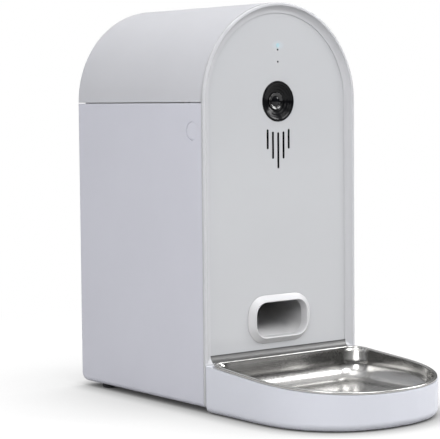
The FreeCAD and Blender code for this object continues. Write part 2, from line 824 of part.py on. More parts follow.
def pillar_places():
    """Four pillars between the end cover and the drive plate, clear of both gears."""
    spread = gear_distance - 3.0
    return [(rotor_axis.y - 22.0, rotor_z - spread + 3.0), (rotor_axis.y - 22.0, rotor_z + spread - 3.0),
            (rotor_axis.y + spread, rotor_z - spread), (rotor_axis.y + spread, rotor_z + spread)]


def make_rotor_end_cover():
    y, z = rotor_axis.y, rotor_z
    disc = rod(cover_radius, vec(case_half, y, z), vec(cover_face, y, z))
    between = box(0, half_width, y - cover_radius, y + cover_radius, chute_flange_z + chute_flange + fit,
                  sleeve_low - fit)
    trimmed = disc.common(between)
    pillars = []
    tools = [rod(bush_radius + press, vec(case_half - 1.0, y, z), vec(cover_face + 1.0, y, z))]
    for py, pz in pillar_places():
        end = vec(plate_start, py, pz)
        pillars.append(rod(4.0, vec(cover_face - 0.5, py, pz), end))
        tools.append(rod(screw_radius + press, vec(cover_face + 2.0, py, pz), end + vec(1, 0, 0)))
    return cut(fuse([trimmed] + pillars), tools)


def make_rotor_bushes():
    y, z = rotor_axis.y, rotor_z
    bushes = []
    for sign in (-1, 1):
        inner, face = sign * (case_half + 0.2), sign * cover_face
        outer = sign * (cover_face + bush_flange)
        body = rod(bush_radius, vec(inner, y, z), vec(outer, y, z))
        collar = rod(bush_radius + 2.0, vec(face, y, z), vec(outer, y, z))
        bore = rod(shaft_radius + running, vec(sign * 10.0, y, z), vec(sign * 60.0, y, z))
        bushes.append(fuse([body, collar]).cut(bore))
    return bushes


def make_rotor():
    y, z = rotor_axis.y, rotor_z
    half = rotor_length / 2.0
    solids = [rod(hub_radius, vec(-half, y, z), vec(half, y, z))]
    for index in range(vane_count):
        vane = box(-half, half, y, y + rotor_radius, z - vane_thickness / 2.0, z + vane_thickness / 2.0)
        vane.rotate(vec(0, y, z), vec(1, 0, 0), 360.0 * index / vane_count)
        solids.append(vane)
    disc = rod(rotor_radius, vec(-half, y, z), vec(half, y, z))
    bore = rod(shaft_radius + press, vec(-half - 1.0, y, z), vec(half + 1.0, y, z))
    return fuse(solids).common(disc).cut(bore)


def make_rotor_shaft():
    y, z = rotor_axis.y, rotor_z
    end = gear_start + gear_width + 0.8
    return rod(shaft_radius, vec(-cover_face - bush_flange - 1.0, y, z), vec(end, y, z))


def involute(angle):
    return math.tan(angle) - angle


def gear(teeth, centre_y, phase, bore_radius):
    """Spur gear about an axis along X, with a tooth in the direction of the phase."""
    pitch_radius = gear_module * teeth / 2.0
    base = pitch_radius * math.cos(pressure_angle)
    tip = pitch_radius + 0.9 * gear_module
    root = pitch_radius - 1.15 * gear_module
    half_tooth = (math.pi * gear_module / 2.0 - backlash) / 2.0 / pitch_radius

    def place(radius, angle):
        return vec(gear_start, centre_y + radius * math.cos(angle), rotor_z + radius * math.sin(angle))

    def flank(radius):
        return half_tooth + involute(pressure_angle) - involute(math.acos(min(1.0, base / radius)))

    low = max(base, root)
    middle = (low + tip) / 2.0
    edges = []
    step = 2.0 * math.pi / teeth
    for index in range(teeth):
        centre = phase + index * step
        if root < low:
            edges.append(line(place(root, centre - flank(low)), place(low, centre - flank(low))))
        edges.append(arc(place(low, centre - flank(low)), place(middle, centre - flank(middle)),
                         place(tip, centre - flank(tip))))
        edges.append(line(place(tip, centre - flank(tip)), place(tip, centre + flank(tip))))
        edges.append(arc(place(tip, centre + flank(tip)), place(middle, centre + flank(middle)),
                         place(low, centre + flank(low))))
        if root < low:
            edges.append(line(place(low, centre + flank(low)), place(root, centre + flank(low))))
        start = min(root, low)
        edges.append(line(place(start, centre + flank(low)), place(start, centre + step - flank(low))))
    blank = prism(Part.Wire(edges), gear_width, 0, 0)
    axis = vec(gear_start, centre_y, rotor_z)
    return blank.cut(rod(bore_radius, axis - vec(1, 0, 0), axis + vec(gear_width + 1.0, 0, 0)))


def make_rotor_gear():
    wheel = gear(gear_teeth, rotor_axis.y, 0.0, shaft_radius + press)
    tools = []
    for index in range(5):
        angle = 2.0 * math.pi * index / 5.0 + 0.3
        y, z = rotor_axis.y + 13.5 * math.cos(angle), rotor_z + 13.5 * math.sin(angle)
        tools.append(rod(4.2, vec(gear_start - 1.0, y, z), vec(gear_start + gear_width + 1.0, y, z)))
    return cut(wheel, tools)


def make_motor_pinion():
    centre_y = rotor_axis.y + gear_distance
    return gear(pinion_teeth, centre_y, math.pi / pinion_teeth, motor_shaft_radius + press)


def make_motor_shaft():
    y = rotor_axis.y + gear_distance
    return rod(motor_shaft_radius, vec(gear_start - 1.0, y, rotor_z), vec(plate_start + 8.0, y, rotor_z))


def motor_screw_places():
    y = rotor_axis.y + gear_distance
    return [(y, rotor_z - 8.5), (y, rotor_z + 8.5)]


def make_drive_frame():
    motor_y = rotor_axis.y + gear_distance
    y0, y1 = rotor_axis.y - 28.0, motor_y + motor_radius + 2.0
    half = gear_distance + 2.0
    corners = [vec(plate_start, y0, rotor_z - half), vec(plate_start, y1, rotor_z - half),
               vec(plate_start, y1, rotor_z + half), vec(plate_start, y0, rotor_z + half)]
    plate = prism(rounded_wire(corners, 7.0), drive_plate, 0, 0)
    x0, x1 = plate_start - 1.0, plate_start + drive_plate + 1.0
    tools = [rod(4.5, vec(x0, motor_y, rotor_z), vec(x1, motor_y, rotor_z)),
             rod(14.0, vec(x0, rotor_axis.y, rotor_z), vec(x1, rotor_axis.y, rotor_z))]
    for y, z in pillar_places() + motor_screw_places():
        tools.append(rod(screw_radius + fit, vec(x0, y, z), vec(x1, y, z)))
    return cut(plate, tools)


def make_gear_motor():
    y = rotor_axis.y + gear_distance
    x0 = plate_start + drive_plate
    x1, x2 = x0 + gearbox_length, x0 + gearbox_length + motor_length
    gearbox = rod(motor_radius, vec(x0, y, rotor_z), vec(x1, y, rotor_z))
    boss = rod(4.2, vec(x0 - 1.8, y, rotor_z), vec(x0, y, rotor_z))
    can = rod(motor_radius - 0.6, vec(x1, y, rotor_z), vec(x2, y, rotor_z))
    flats = box(x1, x2, y - motor_radius, y + motor_radius, rotor_z - 9.2, rotor_z + 9.2)
    tools = [rod(motor_shaft_radius + running, vec(x0 - 5.0, y, rotor_z), vec(x0 + 7.0, y, rotor_z))]
    for py, pz in motor_screw_places():
        tools.append(rod(screw_radius + press, vec(x0 - 1.0, py, pz), vec(x0 + 5.0, py, pz)))
    return cut(fuse([gearbox, boss, can.common(flats)]), tools)


def make_drive_screws():
    face = plate_start + drive_plate
    screws = [screw(vec(face, y, z), vec(1, 0, 0), 9.0) for y, z in pillar_places()]
    screws += [screw(vec(plate_start, y, z), vec(-1, 0, 0), 6.0) for y, z in motor_screw_places()]
    return screws


def hopper_solid(inset, low, high):
    """Straight upper bucket and funnel down to the throat, less a wall thickness."""
    wide = inner_half - hopper_side_room - inset
    y0, y1 = liner_front + 7.0 + inset, rear - wall - hopper_side_room - inset
    corner = hopper_corner - inset
    throat_x, throat_y = throat_width / 2.0 - inset + hopper_wall, throat_depth / 2.0 - inset + hopper_wall
    throat_r = throat_corner - inset + hopper_wall
    top = plan_rect(-wide, wide, y0, y1, funnel_top, corner)
    throat = plan_rect(-throat_x, throat_x, rotor_axis.y - throat_y, rotor_axis.y + throat_y,
                       throat_height, throat_r)
    bucket = prism(top, 0, 0, high - funnel_top)
    solids = [bucket, Part.makeLoft([throat, top], True, True)]
    if low < throat_height:
        solids.append(prism(throat, 0, 0, low - throat_height))
    return fuse(solids)


def make_hopper():
    shell = hopper_solid(0.0, throat_height, hopper_top)
    void = hopper_solid(hopper_wall, throat_height - 5.0, hopper_top + 5.0)
    x, y0, y1 = inner_half - 0.5, cover_back + screw_head + 0.6, rear - wall - 0.5
    rim = prism(plan_rect(-x, x, y0, y1, hopper_top - hopper_rim, 5.0), 0, 0, hopper_rim)
    wide, deep = throat_width / 2.0 + case_wall, throat_depth / 2.0 + case_wall
    y = rotor_axis.y
    sleeve = box(-wide - fit - 2.0, wide + fit + 2.0, y - deep - fit - 2.0, y + deep + fit + 2.0,
                 sleeve_low, throat_height + 4.0)
    inside = box(-wide - fit, wide + fit, y - deep - fit, y + deep + fit, sleeve_low - 1.0, throat_height)
    return fuse([shell, rim, sleeve]).cut(inside).cut(void)


# Lid

def make_lid_shell():
    start = front + flange_depth + frame_gap
    block = arch_prism(half_width, spring_height, start, rear)
    edge = [e for e in block.Edges if e.CenterOfMass.y > rear - 0.01 and e.Length > body_width + 1.0]
    block = block.makeFillet(side_edge_radius, edge)
    room = arch_prism(inner_half, spring_height, start - 5.0, rear - wall)
    edge = [e for e in room.Edges if e.CenterOfMass.y > rear - wall - 0.01 and e.Length > body_width]
    room = room.makeFillet(side_edge_radius - wall, edge)
    below = box(-inner_half, inner_half, start - 5.0, rear - wall, spring_height - 5.0, spring_height + 0.01)
    room = room.fuse(below)
    solids = [block.cut(room)]
    for _, pair in hinge_spans():
        for x0, x1 in pair:
            solids.append(knuckle(x0, x1, True))
    y = front + button_y
    half = tongue_width / 2.0
    x0 = inner_half - fit - tongue_thickness
    tongue = box(x0, inner_half - fit, y - half, y + half, tongue_low, spring_height + 6.0)
    root = box(x0, inner_half + 1.0, y - half, y + half, spring_height + 0.6, spring_height + 6.0)
    window = box(x0 - 1.0, inner_half + 0.01, y - spring_width / 2.0 - 1.0, y + spring_width / 2.0 + 1.0,
                 catch_z - 2.6, catch_z + 2.6)
    hook = fuse([tongue, root]).cut(window)
    lid = fuse(solids + both_sides(hook))
    axis = vec(0, hinge_y, spring_height)
    tools = []
    for _, pair in hinge_spans():
        for x0, x1 in pair:
            tools.append(rod(hinge_pin_radius + running, axis + vec(x0 - 1, 0, 0), axis + vec(x1 + 1, 0, 0)))
    return cut(lid, tools)


def make_lid_liner():
    wide = inner_half - 0.5
    plate = prism(plan_rect(-wide, wide, liner_front, rear - wall - 0.6, liner_bottom, 4.0), 0, 0, liner)
    front_wall = arch_prism(inner_half - 0.5, spring_height, liner_front, liner_front + liner)
    front_wall = front_wall.cut(box(-half_width, half_width, liner_front - 1.0, liner_front + 20.0,
                                    spring_height - 1.0, liner_bottom))
    ribs = []
    for x in (-hopper_rib_x, hopper_rib_x):
        points = [(liner_front + 1.0, liner_bottom + 1.0), (liner_front + 40.0, liner_bottom + 1.0),
                  (liner_front + 1.0, liner_bottom + 60.0)]
        ribs.append(side_prism(points, x - 1.2, x + 1.2))
    hole = rod(desiccant_radius + desiccant_wall + press, vec(0, desiccant_y, liner_bottom - 1.0),
               vec(0, desiccant_y, liner_bottom + 20.0))
    return fuse([plate, front_wall] + ribs).cut(hole)


def make_lid_seal():
    x, y0, y1 = inner_half - 2.2, liner_front + 1.2, rear - wall - 2.2
    low = hopper_top + fit
    outer = prism(plan_rect(-x, x, y0, y1, low, 5.0), 0, 0, liner_bottom - low)
    w = seal_width
    inner = prism(plan_rect(-x + w, x - w, y0 + w, y1 - w, low - 1.0, 3.0), 0, 0, 10.0)
    return outer.cut(inner)


def sector(radius, start_degrees, end_degrees, z0, z1):
    """Wedge of a disc about the axis of the desiccant box."""
    sweep = end_degrees - start_degrees
    disc = Part.makeCylinder(radius, z1 - z0, vec(0, desiccant_y, z0), vec(0, 0, 1), sweep)
    disc.rotate(vec(0, desiccant_y, z0), vec(0, 0, 1), start_degrees)
    return disc


def make_desiccant_box():
    outer = desiccant_radius + desiccant_wall
    axis = vec(0, desiccant_y, liner_bottom)
    cup = rod(outer, axis, axis + vec(0, 0, desiccant_height))
    flange = rod(outer + 4.0, axis + vec(0, 0, liner), axis + vec(0, 0, liner + 2.0))
    hollow = rod(desiccant_radius, axis - vec(0, 0, 1), axis + vec(0, 0, desiccant_height - 2.0))
    groove = rod(desiccant_radius + 1.7, vec(0, desiccant_y, groove_low), vec(0, desiccant_y, groove_high))
    tools = [hollow, groove]
    for index in range(3):
        entry = 120.0 * index + cap_turn
        half_angle = lug_half_angle + 3.0
        tools.append(sector(desiccant_radius + 1.7, entry - half_angle, entry + half_angle,
                            liner_bottom - 1.0, groove_high))
    return cut(fuse([cup, flange]), tools)


def make_desiccant_cap():
    axis = vec(0, desiccant_y, liner_bottom)
    radius = desiccant_radius - fit
    disc = rod(radius, axis + vec(0, 0, 0.4), axis + vec(0, 0, 0.4 + cap_thickness))
    rim = rod(radius, axis + vec(0, 0, 0.4), vec(0, desiccant_y, groove_high - fit))
    rim = rim.cut(rod(radius - 2.0, axis, axis + vec(0, 0, desiccant_height)))
    grip = box(-24.0, 24.0, desiccant_y - 2.5, desiccant_y + 2.5, liner_bottom - 7.0, liner_bottom + 1.0)
    lugs = []
    core = rod(radius - 1.0, vec(0, desiccant_y, groove_low), vec(0, desiccant_y, groove_high))
    for index in range(3):
        middle = 120.0 * index
        lug = sector(desiccant_radius + 1.3, middle - lug_half_angle, middle + lug_half_angle,
                     groove_low + fit, groove_high - fit)
        lugs.append(lug.cut(core))
    tools = []
    for sign in (-1, 1):
        for index in range(3):
            y0 = desiccant_y + sign * (9.0 + 7.0 * index)
            half = math.sqrt((radius - 4.0) ** 2 - (10.5 + 7.0 * index) ** 2)
            tools.append(box(-half, half, y0 - 1.4, y0 + 1.4, liner_bottom - 1.0, liner_bottom + 4.0))
    return cut(fuse([disc, rim, grip] + lugs), tools)


# Lid buttons

def make_lock_button():
    """Button on the +X side: cap, collar behind the wall and stem."""
    y, z = front + button_y, button_z
    outer = half_width + button_proud
    collar_outer = inner_skirt - fit
    cap = rod(button_radius, vec(collar_outer - 0.5, y, z), vec(outer, y, z))
    rim = [e for e in cap.Edges if abs(e.CenterOfMass.x - outer) < 0.01 and e.Length > 10.0]
    cap = cap.makeFillet(0.8, rim)
    collar = rod(button_radius + 1.4, vec(collar_outer - 2.0, y, z), vec(collar_outer, y, z))
    stem = rod(3.5, vec(stem_end, y, z), vec(collar_outer - 1.0, y, z))
    return fuse([cap, collar, stem])


def make_lock_spring():
    """Leaf on the +X side: clamped at its foot, with a nose that catches the lid's tongue."""
    y = front + button_y - spring_width / 2.0
    t = spring_strip
    x_foot, x_leaf = inner_skirt, stem_end - fit
    low = button_z - 30.0
    nose = half_width - wall - fit - 0.4
    points = [(x_foot, low), (x_foot, low + 10.0), (x_leaf, low + 18.0), (x_leaf, catch_z - t / 2.0 - 1.0),
              (x_leaf + 1.0, catch_z - t / 2.0), (nose, catch_z - t / 2.0), (nose, catch_z + t / 2.0),
              (x_leaf + 0.6, catch_z + t / 2.0), (x_leaf - t, catch_z - t / 2.0 - 0.6),
              (x_leaf - t, low + 17.6), (x_foot - t, low + 9.6), (x_foot - t, low)]
    corners = [vec(x, y, z) for x, z in points]
    return prism(Part.makePolygon(corners + corners[:1]), 0, spring_width, 0)


def make_hinge_pins():
    axis = vec(0, hinge_y, spring_height)
    pins = []
    for own, pair in hinge_spans():
        start, end = pair[0][0] + 0.5, pair[1][1] - 0.5
        pins.append(rod(hinge_pin_radius, axis + vec(start, 0, 0), axis + vec(end, 0, 0)))
    return pins


def make_power_inlet():
    outer = vec(inlet_x, rear, inlet_z)
    bezel = rod(inlet_radius, outer - vec(0, 8.0, 0), outer)
    nut = rod(inlet_radius + 2.0, outer - vec(0, wall + 2.5, 0), outer - vec(0, wall, 0))
    case = box(inlet_x - 5.0, inlet_x + 5.0, rear - 14.0, rear - 7.5, inlet_z - 5.5, inlet_z + 5.5)
    hole = rod(2.8, outer - vec(0, 10.0, 0), outer + vec(0, 1, 0))
    pin = rod(1.0, outer - vec(0, 11.0, 0), outer - vec(0, 1.5, 0))
    return fuse([fuse([bezel, nut, case]).cut(hole), pin])


# Tray and bowl

def tray_wire(inset, z, corner):
    """Straight rear and sides, then a nose that follows a superellipse."""
    wide = half_width - inset
    back = front - tray_gap - inset
    straight = front - tray_length + tray_nose
    reach = tray_nose - inset
    count = 8
    points = [vec(-wide, straight, z)]
    for index in range(1, count):
        turn = math.pi / 2.0 * index / count
        x = -wide * math.cos(turn) ** (2.0 / tray_power)
        points.append(vec(x, straight - reach * math.sin(turn) ** (2.0 / tray_power), z))
    points.append(vec(0, straight - reach, z))
    nose = Part.BSplineCurve()
    nose.interpolate(Points=points, InitialTangent=vec(0, -1, 0), FinalTangent=vec(1, 0, 0))
    left = nose.toShape()
    bend = corner * (1.0 - math.sqrt(0.5))
    start, end = vec(wide, back - corner, z), vec(wide - corner, back, z)
    side = line(vec(wide, straight, z), start)
    turns = both_sides(arc(start, vec(wide - bend, back - bend, z), end)) if corner > 0 else []
    edges = [left, mirrored(left), side] + turns[:1]
    edges.append(line(end, vec(-wide + corner, back, z)))
    return Part.Wire(edges + turns[1:] + [mirrored(side)])


def below_rim(offset):
    """Everything under the sloping top edge of the tray, moved up by an offset."""
    y0, y1 = front - tray_length, front
    slope = (tray_rear_height - tray_front_height) / tray_length
    over = 20.0
    points = [(y0 - over, -20.0), (y1 + over, -20.0), (y1 + over, tray_rear_height + offset + slope * over),
              (y0 - over, tray_front_height + offset - slope * over)]
    return side_prism(points, -half_width - 20.0, half_width + 20.0)


def make_bowl_tray():
    shell = prism(tray_wire(0.0, tray_lift, 0.0), 0, 0, 60.0)
    low = [e for e in shell.Edges if abs(e.CenterOfMass.z - tray_lift) < 0.01]
    low = [e for e in low if e.CenterOfMass.y < front - 2.0]
    shell = shell.makeFillet(tray_edge_radius, low)
    floor = tray_lift + tray_wall
    room = prism(tray_wire(tray_wall, floor, 8.0), 0, 0, 60.0)
    low = [e for e in room.Edges if abs(e.CenterOfMass.z - floor) < 0.01]
    room = room.makeFillet(tray_edge_radius - tray_wall, low)
    shell = shell.cut(room).common(below_rim(0.0))
    solids = [shell]
    for sign in (-1, 1):
        x0, x1 = sign * tongue_x - runner_width / 2.0, sign * tongue_x + runner_width / 2.0
        y0, y1 = front - tray_gap - tray_wall, front + runner_length
        z0, z1 = runner_bottom, runner_bottom + runner_thickness
        nose = [(y1 - 3.0, z0), (y1, z0 + 1.5), (y1, z1 - 1.5), (y1 - 3.0, z1)]
        solids.append(side_prism([(y0, z0)] + nose + [(y0, z1)], x0, x1))
    tools = []
    for x, y in tray_foot_places():
        tools.append(rod(foot_radius - 2.0 + press, vec(x, y, 0), vec(x, y, tray_lift + 1.0)))
    return cut(fuse(solids), tools)


def tray_foot_places():
    return [(sign * x, front - y) for sign in (-1, 1) for x, y in (tray_foot_rear, tray_foot_front)]


def make_tray_feet():
    return [rod(foot_radius - 2.0, vec(x, y, 0), vec(x, y, tray_lift + 1.0)) for x, y in tray_foot_places()]


def make_tray_guides():
    outer = runner_width / 2.0 + fit + guide_wall
    z0, z1 = floor_top, runner_bottom + runner_thickness + fit + 2.0
    y0, y1 = front + flange_depth + frame_gap, front + runner_length + 1.0
    guides = []
    for sign in (-1, 1):
        x = sign * tongue_x
        block = box(x - outer, x + outer, y0, y1, z0, z1)
        half = runner_width / 2.0 + fit
        run_top = runner_bottom + runner_thickness + fit
        run = box(x - half, x + half, y0 - 1.0, y1 + 1.0, runner_bottom - fit, run_top)
        gap = box(x - half + 4.0, x + half - 4.0, y0 - 1.0, y1 + 1.0, runner_bottom, z1 + 1.0)
        guides.append(cut(block, [run, gap]))
    return guides


def bowl_block(inset, low, floor_radius):
    """Drawn bowl as a solid: leaning walls that turn into the floor through a quarter round."""
    wall_inset = lip_inset + lip_width + inset
    turn_height = low + floor_radius
    top_height = tray_rear_height + lip_height + 10.0
    sections = [tray_wire(wall_inset, top_height, bowl_corner - inset)]
    steps = 5
    for index in range(steps + 1):
        turn = math.pi / 2.0 * index / steps
        turned_in = floor_radius * (1.0 - math.cos(turn))
        height = turn_height - floor_radius * math.sin(turn)
        corner = bowl_corner + bowl_corner_growth - inset - turned_in
        leaned_in = bowl_lean * (top_height - turn_height)
        sections.append(tray_wire(wall_inset + leaned_in + turned_in, height, corner))
    sections.reverse()
    return Part.makeLoft(sections, True, True)


def make_steel_bowl():
    rim_top = below_rim(lip_height)
    outside = bowl_block(0.0, bowl_floor - steel, bowl_floor_radius)
    inside = bowl_block(steel, bowl_floor, bowl_floor_radius - steel)
    lip = prism(tray_wire(lip_inset, 0.0, bowl_corner + 2.0), 0, 0, 80.0).cut(below_rim(fit)).common(rim_top)
    under_lip = prism(tray_wire(lip_inset + steel, -1.0, bowl_corner + 1.2), 0, 0, 80.0)
    lip = lip.cut(under_lip.common(below_rim(lip_height - steel))).cut(inside)
    return outside.common(rim_top).cut(inside).fuse(lip)


def save(name, shape):
    solids = shape if isinstance(shape, list) else [shape]
    result = solids[0] if len(solids) == 1 else Part.makeCompound(solids)
    result.exportStep(os.path.join("parts", name + ".step"))
    bad = [s for s in result.Solids if not s.isValid() or s.Volume <= 0]
    print(name, len(result.Solids), round(result.Volume, 1), "INVALID" if bad else "")


def main():
    os.makedirs("parts", exist_ok=True)
    button, leaf = make_lock_button(), make_lock_spring()
    save("main_housing", make_main_housing())
    save("base_cover", make_base_cover())
    save("base_screws", make_base_screws())
    save("rubber_feet", make_rubber_feet())
    save("front_frame", make_front_frame())
    save("front_panel", make_front_panel())
    save("sensor_board", make_sensor_board())
    save("microphones", make_microphones())
    save("status_light", make_status_light())
    save("camera_ring", make_camera_ring())
    save("camera_barrel", make_camera_barrel())
    save("camera_lens", make_camera_lens())
    save("camera_board", make_camera_board())
    save("speaker_frame", make_speaker_frame())
    save("speaker_cone", make_speaker_cone())
    save("main_board", make_main_board())
    save("bay_cover", make_bay_cover())
    save("bay_screws", make_bay_screws())
    save("outlet_collar", make_outlet_collar())
    save("food_chute", make_food_chute())
    save("leg_screws", make_leg_screws())
    save("rotor_case", make_rotor_case())
    save("rotor_end_cover", make_rotor_end_cover())
    save("rotor_bushes", make_rotor_bushes())
    save("rotor", make_rotor())
    save("rotor_shaft", make_rotor_shaft())
    save("rotor_gear", make_rotor_gear())
    save("motor_pinion", make_motor_pinion())
    save("motor_shaft", make_motor_shaft())
    save("drive_frame", make_drive_frame())
    save("gear_motor", make_gear_motor())
    save("drive_screws", make_drive_screws())
    save("hopper", make_hopper())
    save("lid_shell", make_lid_shell())
    save("lid_liner", make_lid_liner())
    save("lid_seal", make_lid_seal())
    save("desiccant_box", make_desiccant_box())
    save("desiccant_cap", make_desiccant_cap())
    save("lock_button_right", button)
    save("lock_button_left", mirrored(button))
    save("lock_spring_right", leaf)
    save("lock_spring_left", mirrored(leaf))
    save("hinge_pins", make_hinge_pins())
    save("power_inlet", make_power_inlet())
    save("tray_guides", make_tray_guides())
    save("bowl_tray", make_bowl_tray())
    save("tray_feet", make_tray_feet())
    save("steel_bowl", make_steel_bowl())


main()
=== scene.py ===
import json
import math

import bmesh
import bpy
from mathutils import Matrix, Vector


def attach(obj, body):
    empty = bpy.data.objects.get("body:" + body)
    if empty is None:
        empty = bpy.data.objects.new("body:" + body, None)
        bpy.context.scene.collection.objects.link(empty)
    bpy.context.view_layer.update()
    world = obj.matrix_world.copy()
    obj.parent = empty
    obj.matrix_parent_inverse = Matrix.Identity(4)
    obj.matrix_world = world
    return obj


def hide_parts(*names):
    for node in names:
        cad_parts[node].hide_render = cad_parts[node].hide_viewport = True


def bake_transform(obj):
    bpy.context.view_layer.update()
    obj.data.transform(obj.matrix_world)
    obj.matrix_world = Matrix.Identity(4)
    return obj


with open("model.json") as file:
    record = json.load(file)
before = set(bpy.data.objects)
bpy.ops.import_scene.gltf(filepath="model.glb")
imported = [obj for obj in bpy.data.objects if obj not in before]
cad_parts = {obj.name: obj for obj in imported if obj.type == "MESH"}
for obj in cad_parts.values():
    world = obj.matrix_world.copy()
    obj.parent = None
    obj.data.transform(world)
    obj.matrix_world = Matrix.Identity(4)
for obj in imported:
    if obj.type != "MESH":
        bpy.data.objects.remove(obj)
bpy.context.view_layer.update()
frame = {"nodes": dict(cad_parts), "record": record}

# Main places, in millimetres. SPRING is where the half-round top starts, and the camera's height.
MM = 0.001
FRONT = -27.8
HALF_WIDTH = 95.0
SPRING = 293.5
PANEL_FRONT = FRONT + 5.0
PANEL_THICKNESS = 2.5
LIGHT_HEIGHT = 347.4
PINHOLE_HEIGHTS = (343.2, 331.6)
OUTLET_HEIGHT = 82.55
BUTTON_Y = -10.0
BUTTON_HEIGHT = 266.3

# Tray and bowl
TRAY_LENGTH = 168.0
TRAY_NOSE = 100.0
TRAY_POWER = 2.3
TRAY_GAP = 0.8
TRAY_REAR_HEIGHT = 45.4
TRAY_FRONT_HEIGHT = 32.8
LIP_HEIGHT = 2.8
LIP_INSET = 0.7
LIP_WIDTH = 2.4
STEEL = 0.8
BOWL_FLOOR = 16.5
BOWL_LEAN = 0.085
BOWL_CORNER = 14.0
CORNER_GROWTH = 10.0
TURN_RADIUS = 18.0


# Shader helpers

def new_material(name):
    material = bpy.data.materials.new(name)
    material.use_nodes = True
    tree = material.node_tree
    shader = tree.nodes["Principled BSDF"]
    return material, tree, shader


def node(tree, kind, values=None, **settings):
    made = tree.nodes.new(kind)
    for key, value in settings.items():
        setattr(made, key, value)
    for key, value in (values or {}).items():
        made.inputs[key].default_value = value
    return made


def object_place(tree, scale):
    """Object coordinates, in metres, stretched by a scale of one or three numbers."""
    place = node(tree, "ShaderNodeTexCoord")
    mapping = node(tree, "ShaderNodeMapping")
    mapping.inputs["Scale"].default_value = scale if isinstance(scale, tuple) else (scale,) * 3
    tree.links.new(place.outputs["Object"], mapping.inputs["Vector"])
    return mapping.outputs["Vector"]


def noise(tree, scale, detail=3.0, roughness=0.55):
    made = node(tree, "ShaderNodeTexNoise", {"Scale": 1.0, "Detail": detail, "Roughness": roughness})
    tree.links.new(object_place(tree, scale), made.inputs["Vector"])
    return made.outputs["Fac"]


def ramp(tree, source, stops):
    made = node(tree, "ShaderNodeValToRGB")
    elements = made.color_ramp.elements
    while len(elements) < len(stops):
        elements.new(0.5)
    for element, (position, value) in zip(elements, stops):
        element.position = position
        element.color = value if len(value) == 4 else (*value, 1.0)
    tree.links.new(source, made.inputs["Fac"])
    return made.outputs["Color"]


def plain_math(tree, operation, first, second):
    """Math node whose operands are sockets or numbers."""
    made = node(tree, "ShaderNodeMath", operation=operation)
    for socket, value in zip(made.inputs, (first, second)):
        if isinstance(value, (int, float)):
            socket.default_value = value
        else:
            tree.links.new(value, socket)
    return made.outputs["Value"]


def mixed(tree, factor, first, second, blend="MIX"):
    """Colour between two colours. The factor is a socket or a number, the colours are sockets or values."""
    made = node(tree, "ShaderNodeMix", data_type="RGBA", blend_type=blend)
    for socket, value in ((made.inputs["Factor"], factor), (made.inputs[6], first), (made.inputs[7], second)):
        if isinstance(value, (float, tuple)):
            socket.default_value = value
        else:
            tree.links.new(value, socket)
    return made.outputs[2]


def along(tree, source, start, end):
    """Share of the way from start to end, clamped, of a socket's value."""
    share = node(tree, "ShaderNodeMapRange", {"From Min": start, "From Max": end})
    tree.links.new(source, share.inputs["Value"])
    return share.outputs["Result"]


def object_axes(tree):
    """The object's coordinates, in metres, one by one."""
    parts = node(tree, "ShaderNodeSeparateXYZ")
    tree.links.new(node(tree, "ShaderNodeTexCoord").outputs["Object"], parts.inputs["Vector"])
    return parts.outputs


def grey(value):
    return (value, value, value)


def bump(tree, shader, height, strength, distance, edge=0.0):
    """Fine relief, over edges that are softened by a small radius where one is given."""
    made = node(tree, "ShaderNodeBump", {"Strength": strength, "Distance": distance})
    if edge:
        eased = node(tree, "ShaderNodeBevel", {"Radius": edge}, samples=6)
        tree.links.new(eased.outputs["Normal"], made.inputs["Normal"])
    tree.links.new(height, made.inputs["Height"])
    tree.links.new(made.outputs["Normal"], shader.inputs["Normal"])


def moulded_plastic(name, color, roughness, spread=0.03, grain=900.0, depth=0.00003, edge=0.0):
    """Injection-moulded plastic: faint mottling in colour and gloss, and a very fine skin."""
    material, tree, shader = new_material(name)
    low = tuple(c * (1.0 - spread) for c in color)
    high = tuple(min(1.0, c * (1.0 + spread)) for c in color)
    tint = ramp(tree, noise(tree, 14.0), [(0.3, low), (0.7, high)])
    tree.links.new(tint, shader.inputs["Base Color"])
    gloss = ramp(tree, noise(tree, 60.0, 4.0),
                 [(0.3, grey(max(0.02, roughness - 0.03))), (0.7, grey(roughness + 0.03))])
    tree.links.new(gloss, shader.inputs["Roughness"])
    bump(tree, shader, noise(tree, grain, 2.0), 0.25, depth, edge)
    shader.inputs["IOR"].default_value = 1.46
    return material


def metal(name, color, roughness, stretch, depth=0.000012, spread=0.05):
    """Drawn or ground metal: long fine scratches along one direction."""
    material, tree, shader = new_material(name)
    shader.inputs["Metallic"].default_value = 1.0
    low = tuple(c * (1.0 - spread) for c in color)
    high = tuple(min(1.0, c * (1.0 + spread)) for c in color)
    tint = ramp(tree, noise(tree, stretch, 3.0), [(0.3, low), (0.7, high)])
    tree.links.new(tint, shader.inputs["Base Color"])
    gloss = ramp(tree, noise(tree, stretch, 5.0, 0.7),
                 [(0.25, grey(max(0.05, roughness - 0.06))), (0.75, grey(roughness + 0.06))])
    tree.links.new(gloss, shader.inputs["Roughness"])
    bump(tree, shader, noise(tree, stretch, 4.0), 0.3, depth)
    return material


# Mesh helpers

def add_mesh(name, points, faces, body, material, replaced=(), sharp=32.0):
    """Mesh from points in millimetres, merged, smooth but for its sharp edges."""
    mesh = bpy.data.meshes.new(name)
    mesh.from_pydata([(x * MM, y * MM, z * MM) for x, y, z in points], [], faces)
    work = bmesh.new()
    work.from_mesh(mesh)
    bmesh.ops.remove_doubles(work, verts=work.verts, dist=0.00001)
    bmesh.ops.dissolve_degenerate(work, edges=work.edges, dist=0.000005)
    bmesh.ops.recalc_face_normals(work, faces=work.faces)
    work.to_mesh(mesh)
    work.free()
    mesh.polygons.foreach_set("use_smooth", [True] * len(mesh.polygons))
    mesh.set_sharp_from_angle(angle=math.radians(sharp))
    piece = bpy.data.objects.new(name, mesh)
    bpy.context.scene.collection.objects.link(piece)
    mesh.materials.append(material)
    if body:
        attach(piece, body)
    if replaced:
        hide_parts(*replaced)
    return piece


